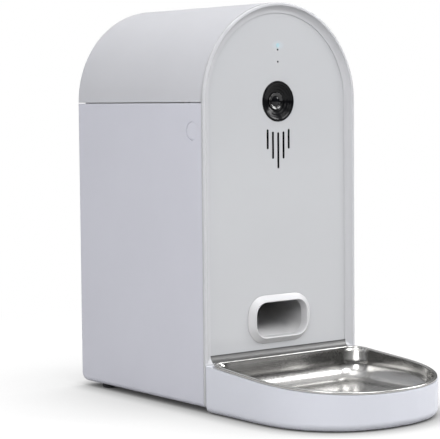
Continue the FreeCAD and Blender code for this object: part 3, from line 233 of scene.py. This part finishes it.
def skin(rings, close_rings=True, close_stack=False, start_cap=False, end_cap=False):
    """Quads between rings of equal length. Rings may close on themselves, the stack on its start."""
    points = [p for ring in rings for p in ring]
    size, count = len(rings[0]), len(rings)
    faces = []
    for i in range(count if close_stack else count - 1):
        here, there = i * size, ((i + 1) % count) * size
        for j in range(size if close_rings else size - 1):
            k = (j + 1) % size
            faces.append((here + j, here + k, there + k, there + j))
    if start_cap:
        faces.append(tuple(reversed(range(size))))
    if end_cap:
        faces.append(tuple(range((count - 1) * size, count * size)))
    return points, faces


def arc_points(centre, radius, start, end, steps):
    """Points (u, v) on an arc about a centre, with angles in degrees."""
    made = []
    for i in range(steps + 1):
        angle = math.radians(start + (end - start) * i / steps)
        made.append((centre[0] + radius * math.cos(angle), centre[1] + radius * math.sin(angle)))
    return made


# Tray and bowl outline

NOSE_STEPS = 128
CORNER_STEPS = 12
SIDE_STEPS = 8
BACK_STEPS = 16


def rim_height(y):
    return TRAY_REAR_HEIGHT + (y - FRONT) * (TRAY_REAR_HEIGHT - TRAY_FRONT_HEIGHT) / TRAY_LENGTH


def outline_size():
    return NOSE_STEPS + 2 * SIDE_STEPS + 2 * CORNER_STEPS + BACK_STEPS


def outline_point(index, inset, corner):
    """Point (x, y) of the tray's outline, drawn in by an inset, by its place along the outline."""
    wide, back = HALF_WIDTH - inset, FRONT - TRAY_GAP - inset
    straight = FRONT - TRAY_LENGTH + TRAY_NOSE
    if index <= NOSE_STEPS:
        turn = math.pi * index / NOSE_STEPS
        c, s = math.cos(turn), max(0.0, math.sin(turn))
        x = -math.copysign(abs(c) ** (2.0 / TRAY_POWER), c) * wide
        return x, straight - (TRAY_NOSE - inset) * s ** (2.0 / TRAY_POWER)
    index -= NOSE_STEPS
    if index <= SIDE_STEPS:
        return wide, straight + (back - corner - straight) * index / SIDE_STEPS
    index -= SIDE_STEPS
    if index <= CORNER_STEPS:
        turn = math.pi / 2.0 * index / CORNER_STEPS
        return wide - corner * (1.0 - math.cos(turn)), back - corner * (1.0 - math.sin(turn))
    index -= CORNER_STEPS
    if index <= BACK_STEPS:
        return (wide - corner) * (1.0 - 2.0 * index / BACK_STEPS), back
    index -= BACK_STEPS
    if index <= CORNER_STEPS:
        turn = math.pi / 2.0 * index / CORNER_STEPS
        return -wide + corner * (1.0 - math.sin(turn)), back - corner * (1.0 - math.cos(turn))
    index -= CORNER_STEPS
    return -wide, back - corner + (straight - back + corner) * index / SIDE_STEPS


def outline_ring(section, corner):
    """Ring round the tray. The section gives inset and height for a place along the tray's length."""
    ring = []
    for index in range(outline_size()):
        y = FRONT - TRAY_LENGTH / 2.0
        for _ in range(4):
            inset, z = section(y)
            x, y = outline_point(index, inset, corner)
        ring.append((x, y, section(y)[1]))
    return ring


def lip_ring(inset, drop):
    """Ring on the bowl's lip, at a drop below its top."""
    return outline_ring(lambda y: (inset, rim_height(y) + LIP_HEIGHT - drop), BOWL_CORNER + 2.7 - inset)


def wall_rings(base, thickness, first_drop, wall_steps, turn_steps):
    """Rings down the leaning wall of the bowl and round the turn into its floor."""
    turn_height = BOWL_FLOOR - STEEL + TURN_RADIUS
    radius = TURN_RADIUS - thickness
    corner = BOWL_CORNER - thickness
    rings = []

    def inset_at(y, z):
        return base + thickness + BOWL_LEAN * (rim_height(y) + LIP_HEIGHT - z)

    for i in range(wall_steps):
        share = i / wall_steps

        def on_wall(y, share=share):
            top = rim_height(y) + LIP_HEIGHT - first_drop
            z = top + (turn_height - top) * share
            return inset_at(y, z), z
        rings.append(outline_ring(on_wall, corner + CORNER_GROWTH * (0.4 + 0.6 * share)))
    for i in range(turn_steps + 1):
        turn = math.pi / 2.0 * i / turn_steps
        pulled, z = radius * (1.0 - math.cos(turn)), turn_height - radius * math.sin(turn)
        rings.append(outline_ring(lambda y, pulled=pulled, z=z: (inset_at(y, turn_height) + pulled, z),
                                  corner + CORNER_GROWTH - pulled))
    return rings


def build_bowl(material):
    """Drawn steel bowl: rolled lip, leaning walls, a wide turn and a flat floor."""
    base = LIP_INSET + LIP_WIDTH
    inside = [lip_ring(LIP_INSET + 0.7, 2.3), lip_ring(LIP_INSET + 0.15, 2.45), lip_ring(LIP_INSET, 2.2)]
    roll = 1.1
    for u, v in arc_points((roll, roll), roll, 180.0, 90.0, 6):
        inside.append(lip_ring(LIP_INSET + u, 2.0 * roll - v))
    soft = 1.2
    edge = base + STEEL + BOWL_LEAN * soft
    for i in range(7):
        turn = math.pi / 2.0 * i / 6
        inside.append(lip_ring(edge - soft * (1.0 - math.sin(turn)), soft * (1.0 - math.cos(turn))))
    inside += wall_rings(base, STEEL, soft, 7, 16)[1:]
    middle = (0.0, FRONT - TRAY_LENGTH / 2.0)
    floor_ring = inside[-1]
    for share, rise in ((0.97, 0.0), (0.85, 0.08), (0.55, 0.2), (0.25, 0.25), (0.0, 0.25)):
        inside.append([(middle[0] + (x - middle[0]) * share, middle[1] + (y - middle[1]) * share, z + rise)
                       for x, y, z in floor_ring])
    below = [lip_ring(LIP_INSET + 0.75, 2.2)]
    for u, v in arc_points((1.4, 1.4), 0.6, 180.0, 90.0, 3):
        below.append(lip_ring(LIP_INSET + u, 2.8 - v))
    below.append(lip_ring(base - 0.3, STEEL))
    below += wall_rings(base, 0.0, STEEL + 0.6, 6, 10)
    floor_ring = below[-1]
    below.append([(middle[0], middle[1], floor_ring[0][2])] * outline_size())
    points, faces = skin(list(reversed(below)) + inside)
    add_mesh("bowl_shell", points, faces, "bowl", material, ["steel_bowl"], 40.0)


# Camera

def revolve(profile, segments, centre_z):
    """Rings about the camera's axis, from (radius, depth behind the panel's face)."""
    rings = []
    for radius, depth in profile:
        rings.append([(radius * math.cos(2.0 * math.pi * k / segments), PANEL_FRONT + depth,
                       centre_z + radius * math.sin(2.0 * math.pi * k / segments)) for k in range(segments)])
    return rings


def soften(profile, amount, steps=3):
    """Rounds each inner corner of an open profile by an amount."""
    made = [profile[0]]
    for before, here, after in zip(profile, profile[1:], profile[2:]):
        a, b, c = Vector(before), Vector(here), Vector(after)
        reach = min(amount, (a - b).length * 0.45, (c - b).length * 0.45)
        start, end = b + (a - b).normalized() * reach, b + (c - b).normalized() * reach
        for i in range(steps + 1):
            t = i / steps
            made.append(tuple(start * (1 - t) ** 2 + b * 2 * t * (1 - t) + end * t ** 2))
    made.append(profile[-1])
    return made


def build_camera(ring_material, barrel_material, lens_material):
    """Stepped ring, barrel and a flat dome of glass, from (radius, depth behind the panel's face)."""
    ring = [(23.0, 2.5), (19.5, 2.5), (19.5, -0.3), (19.0, -0.8), (17.7, -0.8), (16.3, -0.1), (15.9, 0.9),
            (14.6, 1.1), (14.2, 2.0), (12.0, 2.3), (11.5, 3.3), (9.3, 3.7), (8.75, 4.2), (8.75, 10.9)]
    back = [(15.5, 10.9), (15.5, 4.6), (23.0, 4.6)]
    points, faces = skin(revolve(soften(ring, 0.35) + back, 128, SPRING), close_stack=True)
    add_mesh("camera_bezel", points, faces, "housing", ring_material, ["camera_ring"], 50.0)
    barrel = [(8.6, 9.9), (8.6, 3.2), (8.1, 2.7), (7.7, 2.7), (6.3, 3.4), (5.3, 3.7), (5.05, 4.4), (5.0, 6.9)]
    back = [(2.1, 6.9), (2.1, 9.9)]
    points, faces = skin(revolve(soften(barrel, 0.25) + back, 96, SPRING), close_stack=True)
    add_mesh("camera_tube", points, faces, "housing", barrel_material,
             ["camera_barrel"], 50.0)
    ball, glass_radius, glass_front, glass_back = 20.0, 4.8, 3.75, 6.85
    dome = [(glass_radius, glass_back)]
    for i in range(12):
        radius = glass_radius * (1.0 - i / 11.0)
        dome.append((max(radius, 0.001), glass_front + ball - math.sqrt(ball ** 2 - radius ** 2)))
    points, faces = skin(revolve(dome, 96, SPRING), start_cap=True)
    add_mesh("camera_glass", points, faces, "housing", lens_material, ["camera_lens"], 50.0)


# Outlet

def front_rounded(width, height, middle_z, y, radius, steps=10):
    """Rounded rectangle that faces the front, as a ring."""
    ring = []
    half_w, half_h = width / 2.0 - radius, height / 2.0 - radius
    corners = ((half_w, half_h), (-half_w, half_h), (-half_w, -half_h), (half_w, -half_h))
    for index, (cx, cz) in enumerate(corners):
        for i in range(steps + 1):
            turn = math.pi / 2.0 * (index + i / steps)
            ring.append((cx + radius * math.cos(turn), y, middle_z + cz + radius * math.sin(turn)))
    return ring


def build_collar(material):
    """Outlet's collar: flange behind the panel, sloping flank, round lip and the mouth's wall."""
    lip_height, roll, foot, back, step = 82.4, 0.85, 4.8, 9.5, 7.5

    def ring_at(width, height, middle_z, radius, depth):
        return front_rounded(width, height, middle_z, FRONT + depth, radius)

    flange = (86.2, 54.7, OUTLET_HEIGHT, 24.0)
    base = (78.2, 46.7, OUTLET_HEIGHT, 20.0)
    lip = (66.8, 37.2, lip_height, 14.2)
    mouth = (63.4, 33.8, lip_height, 12.5)
    rings = [ring_at(*flange, back), ring_at(*flange, step), ring_at(*base, step)]
    steps = 8
    for i in range(steps + 1):
        share = i / steps
        sizes = [a + (b - a) * share for a, b in zip(base, lip)]
        rings.append(ring_at(*sizes, foot + (roll - foot) * share ** 1.12))
    for u, v in arc_points((roll, roll), roll, 180.0, 0.0, 10)[1:]:
        rings.append(ring_at(lip[0] - 2.0 * u, lip[1] - 2.0 * u, lip_height, lip[3] - u, 2.0 * roll - v))
    rings.append(ring_at(*mouth, back))
    points, faces = skin(rings, close_stack=True)
    add_mesh("outlet_bezel", points, faces, "housing", material, ["outlet_collar"], 40.0)


# Front panel and lid buttons

def rounded_outline(width, height, x, z, radius, steps=8):
    """Rounded rectangle as points (x, z). A width and height of two radii give a circle."""
    return [(px + x, pz) for px, _, pz in front_rounded(width, height, z, 0.0, radius, steps)]


def panel_outlines():
    """The sheet's edge, then its holes: camera, light, outlet, pinholes and five speaker slots."""
    reach, bottom = 88.9, 49.6
    outlines = [[(reach, bottom)] + [(u, v) for u, v in arc_points((0.0, SPRING), reach, 0.0, 180.0, 96)]
                + [(-reach, bottom)],
                rounded_outline(39.4, 39.4, 0.0, SPRING, 19.7, 24),
                rounded_outline(4.0, 4.0, 0.0, LIGHT_HEIGHT, 2.0),
                rounded_outline(78.5, 47.0, 0.0, OUTLET_HEIGHT, 20.1, 12)]
    for z in PINHOLE_HEIGHTS:
        outlines.append(rounded_outline(1.9, 1.9, 0.0, z, 0.95, 5))
    pitch, arc, lowest, rise, width = 6.6, 30.0, 65.1, 9.45, 2.5
    for place in range(-2, 3):
        x = place * pitch
        top = SPRING - math.sqrt(arc ** 2 - x ** 2)
        low = SPRING - lowest + rise * abs(place)
        outlines.append(rounded_outline(width, top - low, x, (top + low) / 2.0, width / 2.0, 6))
    return outlines


def build_panel(material):
    """Front sheet, filled between its outlines, with broken edges and the posts behind it."""
    broken = 0.15
    curve = bpy.data.curves.new("panel_outlines", "CURVE")
    curve.dimensions = "2D"
    curve.fill_mode = "BOTH"
    curve.extrude = (PANEL_THICKNESS / 2.0 - broken) * MM
    curve.bevel_depth = broken * MM
    curve.bevel_resolution = 0
    curve.offset = -broken * MM
    for outline in panel_outlines():
        spline = curve.splines.new("POLY")
        spline.points.add(len(outline) - 1)
        for point, (x, z) in zip(spline.points, outline):
            point.co = (x * MM, z * MM, 0.0, 1.0)
        spline.use_cyclic_u = True
    flat = bpy.data.objects.new("panel_outlines", curve)
    bpy.context.scene.collection.objects.link(flat)
    sheet = bpy.data.meshes.new_from_object(flat.evaluated_get(bpy.context.evaluated_depsgraph_get()))
    middle = PANEL_FRONT + PANEL_THICKNESS / 2.0
    points = [(v.co.x / MM, middle - v.co.z / MM, v.co.y / MM) for v in sheet.vertices]
    faces = [tuple(face.vertices) for face in sheet.polygons]
    bpy.data.objects.remove(flat)
    for x in (-6.0, 6.0):
        for z in (LIGHT_HEIGHT + 4.0, PINHOLE_HEIGHTS[-1] - 4.0):
            rings = [[(x + px, y, pz) for px, _, pz in front_rounded(2.8, 2.8, z, 0.0, 1.4, 4)]
                     for y in (PANEL_FRONT + PANEL_THICKNESS, PANEL_FRONT + 5.5)]
            post, sides = skin(rings, end_cap=True)
            faces += [tuple(i + len(points) for i in face) for face in sides]
            points += post
    add_mesh("panel_sheet", points, faces, "housing", material, ["front_panel"])


def build_button(side, body, material):
    """Lid button: cap with a soft shoulder that sits deeper at its lower front, a flange and a stem."""
    radius, shoulder, face = 8.5, 94.3, 95.3
    profile = [(0.0, 84.2), (3.5, 84.2), (3.5, 86.9), (9.9, 86.9), (9.9, 88.9), (radius, 88.9),
               (radius, shoulder)]
    for i in range(1, 9):
        turn = math.pi / 2.0 * i / 8
        profile.append((radius - 1.2 * (1.0 - math.cos(turn)), shoulder + 0.9 * math.sin(turn)))
    profile += [(5.0, face - 0.06), (2.5, face - 0.02), (0.0, face)]
    rings, segments, cap, slope = [], 72, 92.0, 0.045
    for reach, x in profile:
        ring = []
        for k in range(segments):
            turn = 2.0 * math.pi * k / segments
            y, z = reach * math.cos(turn), reach * math.sin(turn)
            sunk = max(0.0, slope * (radius - 0.7 * (y + z))) if x > cap else 0.0
            ring.append((side * (x - sunk), BUTTON_Y + y, BUTTON_HEIGHT + z))
        rings.append(ring)
    points, faces = skin(rings)
    name = "left" if side < 0 else "right"
    add_mesh("lid_button_" + name, points, faces, body, material, ["lock_button_" + name])


def build_lock_spring(side, material):
    """Leaf spring behind a lid button, built where it stands and attached to no body."""
    outer = [(89.2, 236.3), (89.2, 246.3), (83.9, 254.3), (83.9, 280.9), (84.9, 281.9), (91.3, 281.9)]
    inner = [(88.4, 236.3), (88.4, 245.9), (83.1, 253.9), (83.1, 281.3), (84.5, 282.7), (91.3, 282.7)]
    back, front = BUTTON_Y + 4.0, BUTTON_Y - 4.0
    stations = []
    for i, steps in enumerate((2, 6, 16, 2, 3)):
        stations += [(i, step / steps) for step in range(steps)]
    rings = []
    for i, share in stations + [(4, 1.0)]:
        (ox, oz), (ix, iz) = [[a * (1 - share) + b * share for a, b in zip(edge[i], edge[i + 1])]
                              for edge in (outer, inner)]
        rings.append([(side * ox, front, oz), (side * ox, back, oz),
                      (side * ix, back, iz), (side * ix, front, iz)])
    points, faces = skin(rings, start_cap=True, end_cap=True)
    name = "left" if side < 0 else "right"
    piece = add_mesh("leaf_spring_" + name, points, faces, "", material,
                     ["lock_spring_" + name])
    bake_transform(piece)


# Materials

EASED = 0.0005  # radius, in metres, at which the moulded edges catch the light
# Body, lid, tray and collar are one white plastic, each copy set lighter or darker for how light falls on it:
# painted light and shade.
body_white = moulded_plastic("body_white", (0.70, 0.705, 0.78), 0.42, 0.012, 1400.0, 0.00002, EASED)
lid_white = moulded_plastic("lid_white", (0.65, 0.655, 0.693), 0.42, 0.012, 1400.0, 0.00002, EASED)
tray_white = moulded_plastic("tray_white", (0.765, 0.78, 0.85), 0.40, 0.012, 1400.0, 0.00002, EASED)
inner_white = moulded_plastic("inner_white", (0.68, 0.69, 0.70), 0.5, 0.03, 700.0)
collar_white = moulded_plastic("collar_white", (0.66, 0.66, 0.675), 0.22, 0.01, 900.0, 0.00001)
black = moulded_plastic("black_plastic", (0.004, 0.004, 0.005), 0.12, 0.2, 1200.0, 0.00001)
black.node_tree.nodes["Principled BSDF"].inputs["Specular IOR Level"].default_value = 0.2
barrel_black = moulded_plastic("barrel_black", (0.003, 0.003, 0.004), 0.08, 0.2, 1200.0, 0.00001)
barrel_black.node_tree.nodes["Principled BSDF"].inputs["IOR"].default_value = 1.6
rubber = moulded_plastic("rubber_dark", (0.035, 0.035, 0.04), 0.75, 0.2, 600.0, 0.00008)
seal = moulded_plastic("seal_grey", (0.5, 0.5, 0.5), 0.6, 0.05, 600.0, 0.00004)
board = moulded_plastic("board_green", (0.02, 0.13, 0.06), 0.4, 0.3, 260.0, 0.0001)
gear = moulded_plastic("gear_ivory", (0.78, 0.75, 0.64), 0.38, 0.03)
paper = moulded_plastic("cone_black", (0.02, 0.02, 0.02), 0.85, 0.3, 1500.0, 0.0001)
bowl_steel = metal("bowl_steel", (0.47, 0.465, 0.455), 0.20, (420.0, 40.0, 420.0), 0.000004, 0.03)
shaft_steel = metal("shaft_steel", (0.55, 0.55, 0.56), 0.25, (40.0, 900.0, 900.0))
screw_steel = metal("screw_steel", (0.45, 0.45, 0.46), 0.35, 500.0)
spring_steel = metal("spring_steel", (0.5, 0.5, 0.5), 0.3, (500.0, 500.0, 60.0))
motor_metal = metal("motor_metal", (0.5, 0.5, 0.5), 0.38, (60.0, 500.0, 500.0))
brass = metal("bush_brass", (0.72, 0.56, 0.3), 0.3, 600.0)


def frame_material():
    """The housing's plastic, set darker than the body's for how light falls on the front (painted shade),
    with painted shade on the sill in the recess between the panel and the bowl.
    """
    material = moulded_plastic("frame_white", (0.592, 0.597, 0.621), 0.24, 0.012, 1400.0, 0.00002)
    tree = material.node_tree
    base = tree.nodes["Principled BSDF"].inputs["Base Color"]
    tint = base.links[0].from_socket
    axes = object_axes(tree)
    # Painted shade on the sill: a dark line under the panel, a grey band, and a dark line by the bowl's lip.
    sill_shade_tones = ((0.0, 0.07), (0.42, 0.075), (0.56, 0.19), (0.74, 0.19), (0.86, 0.10), (1.0, 0.10))
    painted_sill_shade = ramp(tree, along(tree, axes["Z"], 0.046, 0.054), [(at, grey(tone)) for at, tone in sill_shade_tones])
    inside = plain_math(tree, "LESS_THAN", plain_math(tree, "ABSOLUTE", axes["X"], 0.0), 0.0855)
    behind = plain_math(tree, "GREATER_THAN", axes["Y"], (FRONT + 0.6) * MM)
    below = plain_math(tree, "LESS_THAN", axes["Z"], 0.0537)
    sill_shade_mask = plain_math(tree, "MULTIPLY", plain_math(tree, "MULTIPLY", inside, behind), below)
    tree.links.new(mixed(tree, sill_shade_mask, tint, painted_sill_shade), base)
    return material


def chute_material():
    """The food path's plastic, with painted shade that darkens it further up the chute."""
    material = moulded_plastic("chute_white", (0.62, 0.62, 0.63), 0.45, 0.03, 700.0)
    tree = material.node_tree
    base = tree.nodes["Principled BSDF"].inputs["Base Color"]
    tint = base.links[0].from_socket
    # Painted shade: darker further up into the chute.
    up_chute_shade = ramp(tree, along(tree, object_axes(tree)["Z"], 0.064, 0.102),
                [(0.0, grey(1.0)), (0.35, grey(0.78)), (1.0, grey(0.30))])
    tree.links.new(mixed(tree, 1.0, tint, up_chute_shade, "MULTIPLY"), base)
    return material


def panel_material():
    """Glossy grey sheet, black behind its front face as painted shade in its slots and holes. A painted glow
    of the status light lies on it round its own hole.
    """
    material, tree, shader = new_material("panel_grey")
    tint = ramp(tree, noise(tree, 9.0), [(0.3, (0.562, 0.571, 0.592)), (0.7, (0.572, 0.581, 0.602))])
    # Painted shade: black behind the front face, so the slots and holes read dark.
    depth = along(tree, object_axes(tree)["Y"], (PANEL_FRONT + 0.15) * MM, (PANEL_FRONT + 0.45) * MM)
    tree.links.new(mixed(tree, depth, tint, (0.008, 0.008, 0.009, 1.0)), shader.inputs["Base Color"])
    gloss = ramp(tree, noise(tree, 50.0, 4.0), [(0.3, grey(0.10)), (0.7, grey(0.14))])
    tree.links.new(gloss, shader.inputs["Roughness"])
    bump(tree, shader, noise(tree, 700.0, 2.0), 0.15, 0.00001)
    # Painted glow: the sheet itself emits pale blue round the status light's hole.
    away = node(tree, "ShaderNodeVectorMath", operation="DISTANCE")
    away.inputs[1].default_value = (0.0, PANEL_FRONT * MM, LIGHT_HEIGHT * MM)
    tree.links.new(object_place(tree, (0.6, 1.0, 1.0)), away.inputs[0])
    painted_glow = node(tree, "ShaderNodeMapRange", {"From Min": 0.0015, "From Max": 0.0055, "To Min": 0.12,
                                             "To Max": 0.0}, interpolation_type="SMOOTHSTEP")
    tree.links.new(away.outputs["Value"], painted_glow.inputs["Value"])
    shader.inputs["Emission Color"].default_value = (0.10, 0.42, 0.55, 1.0)
    tree.links.new(painted_glow.outputs["Result"], shader.inputs["Emission Strength"])
    return material


def light_material():
    """Light guide, lit pale blue."""
    material, tree, shader = new_material("light_blue")
    tint = ramp(tree, noise(tree, 400.0), [(0.3, (0.36, 0.54, 0.60)), (0.7, (0.44, 0.62, 0.67))])
    tree.links.new(tint, shader.inputs["Base Color"])
    tree.links.new(tint, shader.inputs["Emission Color"])
    shader.inputs["Emission Strength"].default_value = 0.08
    shader.inputs["Roughness"].default_value = 0.3
    return material


def lens_material():
    """Coated glass over a dark lens: deep, with a painted sheen, its colour lighter towards its edge at
    grazing view.
    """
    material, tree, shader = new_material("lens_glass")
    # Painted sheen: colour lighter where the glass is seen at a grazing angle.
    grazing_sheen = node(tree, "ShaderNodeLayerWeight", {"Blend": 0.35})
    tint = ramp(tree, grazing_sheen.outputs["Facing"],
                [(0.0, (0.002, 0.002, 0.003)), (0.5, (0.008, 0.009, 0.012)), (1.0, (0.03, 0.03, 0.035))])
    tree.links.new(tint, shader.inputs["Base Color"])
    shader.inputs["Roughness"].default_value = 0.05
    shader.inputs["Specular IOR Level"].default_value = 0.25
    shader.inputs["Coat Weight"].default_value = 0.2
    shader.inputs["Coat Roughness"].default_value = 0.03
    bump(tree, shader, noise(tree, 200.0, 2.0), 0.05, 0.000005)
    return material


panel_grey = panel_material()
light_blue = light_material()
lens_glass = lens_material()

by_slot = {
    "housing_white": body_white, "inner_white": inner_white, "panel_grey": panel_grey, "black_plastic": black,
    "lens_glass": lens_glass, "light_blue": light_blue, "bowl_steel": bowl_steel, "shaft_steel": shaft_steel,
    "screw_steel": screw_steel, "spring_steel": spring_steel, "rubber_dark": rubber, "seal_grey": seal,
    "board_green": board, "gear_ivory": gear, "bush_brass": brass, "motor_metal": motor_metal,
    "cone_black": paper,
}
slot_of = {entry["node"]: entry["material_slot"] for entry in frame["record"]["subparts"]}
by_node = {"bowl_tray": tray_white, "lid_shell": lid_white, "front_frame": frame_material(),
           "food_chute": chute_material()}
for name, piece in frame["nodes"].items():
    piece.data.materials.clear()
    piece.data.materials.append(by_node.get(name, by_slot[slot_of[name]]))

build_bowl(bowl_steel)
build_camera(black, barrel_black, lens_glass)
build_collar(collar_white)
build_panel(panel_grey)
build_button(-1, "left_button", body_white)
build_button(1, "right_button", body_white)
build_lock_spring(-1, spring_steel)
build_lock_spring(1, spring_steel)


# Floor, lights, camera

FLOOR_SHADE = 0.12
FLOOR_FILL = 0.90
ROOM_DARK = 0.05
ROOM_LIGHT = 1.0
ROOM_FILL = 0.02
LAMP_TARGET = (0.0, 0.0, 0.2)


def build_floor():
    """White ground. Seen directly it is white but for the object's soft shadow, up to the white backdrop."""
    mesh = bpy.data.meshes.new("floor")
    half = 6.0
    mesh.from_pydata([(-half, -half, 0), (half, -half, 0), (half, half, 0), (-half, half, 0)], [],
                     [(0, 1, 2, 3)])
    floor = bpy.data.objects.new("floor", mesh)
    bpy.context.scene.collection.objects.link(floor)
    material, tree, shader = new_material("floor_white")
    shader.inputs["Roughness"].default_value = 0.9
    shader.inputs["Specular IOR Level"].default_value = 0.0
    tint = ramp(tree, noise(tree, 3.0), [(0.3, grey(0.37)), (0.7, grey(0.39))])
    tree.links.new(tint, shader.inputs["Base Color"])
    # Shadowed ground near the object, plain white beyond it.
    seen = node(tree, "ShaderNodeBsdfDiffuse", {"Color": (FLOOR_SHADE,) * 3 + (1.0,)})
    level = FLOOR_FILL
    for reach, darkest in ((0.03, 0.10), (0.26, 0.25)):
        shade = node(tree, "ShaderNodeAmbientOcclusion", {"Distance": reach}, samples=16)
        share = node(tree, "ShaderNodeMapRange", {"From Min": 0.0, "From Max": 0.9, "To Min": darkest,
                                                  "To Max": 1.0})
        tree.links.new(shade.outputs["AO"], share.inputs["Value"])
        level = plain_math(tree, "MULTIPLY", share.outputs["Result"], level)
    fill = node(tree, "ShaderNodeEmission", {"Color": (1.0, 1.0, 1.0, 1.0)})
    tree.links.new(level, fill.inputs["Strength"])
    ground = node(tree, "ShaderNodeAddShader")
    tree.links.new(seen.outputs["BSDF"], ground.inputs[0])
    tree.links.new(fill.outputs["Emission"], ground.inputs[1])
    plain = node(tree, "ShaderNodeEmission", {"Color": (1.0, 1.0, 1.0, 1.0), "Strength": 1.0})
    place = node(tree, "ShaderNodeTexCoord")
    away = node(tree, "ShaderNodeVectorMath", operation="LENGTH")
    tree.links.new(place.outputs["Object"], away.inputs[0])
    far = node(tree, "ShaderNodeMapRange", {"From Min": 0.38, "From Max": 0.75},
               interpolation_type="SMOOTHSTEP")
    tree.links.new(away.outputs["Value"], far.inputs["Value"])
    visible = node(tree, "ShaderNodeMixShader")
    tree.links.new(far.outputs["Result"], visible.inputs["Fac"])
    tree.links.new(ground.outputs["Shader"], visible.inputs[1])
    tree.links.new(plain.outputs["Emission"], visible.inputs[2])
    ray = node(tree, "ShaderNodeLightPath")
    direct = plain_math(tree, "MAXIMUM", ray.outputs["Is Camera Ray"], ray.outputs["Is Glossy Ray"])
    both = node(tree, "ShaderNodeMixShader")
    tree.links.new(direct, both.inputs["Fac"])
    tree.links.new(shader.outputs["BSDF"], both.inputs[1])
    tree.links.new(visible.outputs["Shader"], both.inputs[2])
    tree.links.new(both.outputs["Shader"], tree.nodes["Material Output"].inputs["Surface"])
    mesh.materials.append(material)


def build_world():
    """White backdrop. In reflections it is dark along the horizon and light overhead, as in a studio."""
    world = bpy.data.worlds.new("studio")
    bpy.context.scene.world = world
    world.use_nodes = True
    tree = world.node_tree
    background = tree.nodes["Background"]
    ray = node(tree, "ShaderNodeLightPath")
    place = node(tree, "ShaderNodeTexCoord")
    parts = node(tree, "ShaderNodeSeparateXYZ")
    tree.links.new(place.outputs["Generated"], parts.inputs["Vector"])
    room = node(tree, "ShaderNodeMapRange", {"From Min": 0.10, "From Max": 0.75, "To Min": ROOM_DARK,
                                             "To Max": ROOM_LIGHT}, interpolation_type="SMOOTHSTEP")
    tree.links.new(parts.outputs["Z"], room.inputs["Value"])
    level = node(tree, "ShaderNodeMix")
    tree.links.new(ray.outputs["Is Glossy Ray"], level.inputs["Factor"])
    level.inputs[2].default_value = ROOM_FILL
    tree.links.new(room.outputs["Result"], level.inputs[3])
    strength = node(tree, "ShaderNodeMix")
    tree.links.new(ray.outputs["Is Camera Ray"], strength.inputs["Factor"])
    tree.links.new(level.outputs[0], strength.inputs[2])
    strength.inputs[3].default_value = 1.0
    tree.links.new(strength.outputs[0], background.inputs["Strength"])
    background.inputs["Color"].default_value = (1.0, 1.0, 1.0, 1.0)


def area_light(name, place, width, height, power, mirrored=True):
    """Soft lamp aimed at the object. A lamp that isn't mirrored shows in no reflection."""
    data = bpy.data.lights.new(name, "AREA")
    data.shape, data.size, data.size_y = "RECTANGLE", width, height
    data.energy = power
    lamp = bpy.data.objects.new(name, data)
    bpy.context.scene.collection.objects.link(lamp)
    lamp.location = place
    lamp.visible_glossy = mirrored
    aim = (Vector(LAMP_TARGET) - Vector(place)).to_track_quat("-Z", "Y")
    lamp.rotation_euler = aim.to_euler()


def build_camera_view():
    """The photo's camera, solved from the object's straight edges and its half-round top."""
    azimuth, elevation, roll = math.radians(-37.66), math.radians(4.128), math.radians(-0.501)
    back = Vector((math.sin(azimuth) * math.cos(elevation), -math.cos(azimuth) * math.cos(elevation),
                   math.sin(elevation)))
    right = (-back).cross(Vector((0.0, 0.0, 1.0))).normalized()
    up = right.cross(-back)
    side = right * math.cos(roll) + up * math.sin(roll)
    top = -right * math.sin(roll) + up * math.cos(roll)
    data = bpy.data.cameras.new("photo_view")
    data.lens = 136.285
    data.shift_x, data.shift_y = -0.0009, -0.0006
    data.sensor_width = 36.0
    data.clip_end = 50.0
    camera = bpy.data.objects.new("photo_view", data)
    bpy.context.scene.collection.objects.link(camera)
    turn = Matrix((side, top, back)).transposed().to_4x4()
    camera.matrix_world = Matrix.Translation((-1.03222, -1.26720, 0.29614)) @ turn
    bpy.context.scene.camera = camera


build_floor()
build_world()
area_light("top", (-0.3, -0.5, 2.4), 1.4, 1.4, 9.0)
area_light("front_top", (0.4, -1.5, 1.75), 1.2, 0.8, 24.0)
area_light("right", (2.2, -1.1, 1.4), 1.0, 1.4, 40.0)
area_light("front_left", (-1.6, -1.3, 1.3), 0.9, 1.2, 18.0)
area_light("left", (-1.5, -0.5, 0.9), 0.9, 1.0, 8.0, False)
area_light("rear_left", (-2.4, 0.6, 1.4), 1.2, 1.2, 9.0, False)
area_light("rear", (1.0, 2.4, 1.3), 1.4, 1.4, 40.0, False)
build_camera_view()
bpy.context.scene.view_settings.view_transform = "Standard"
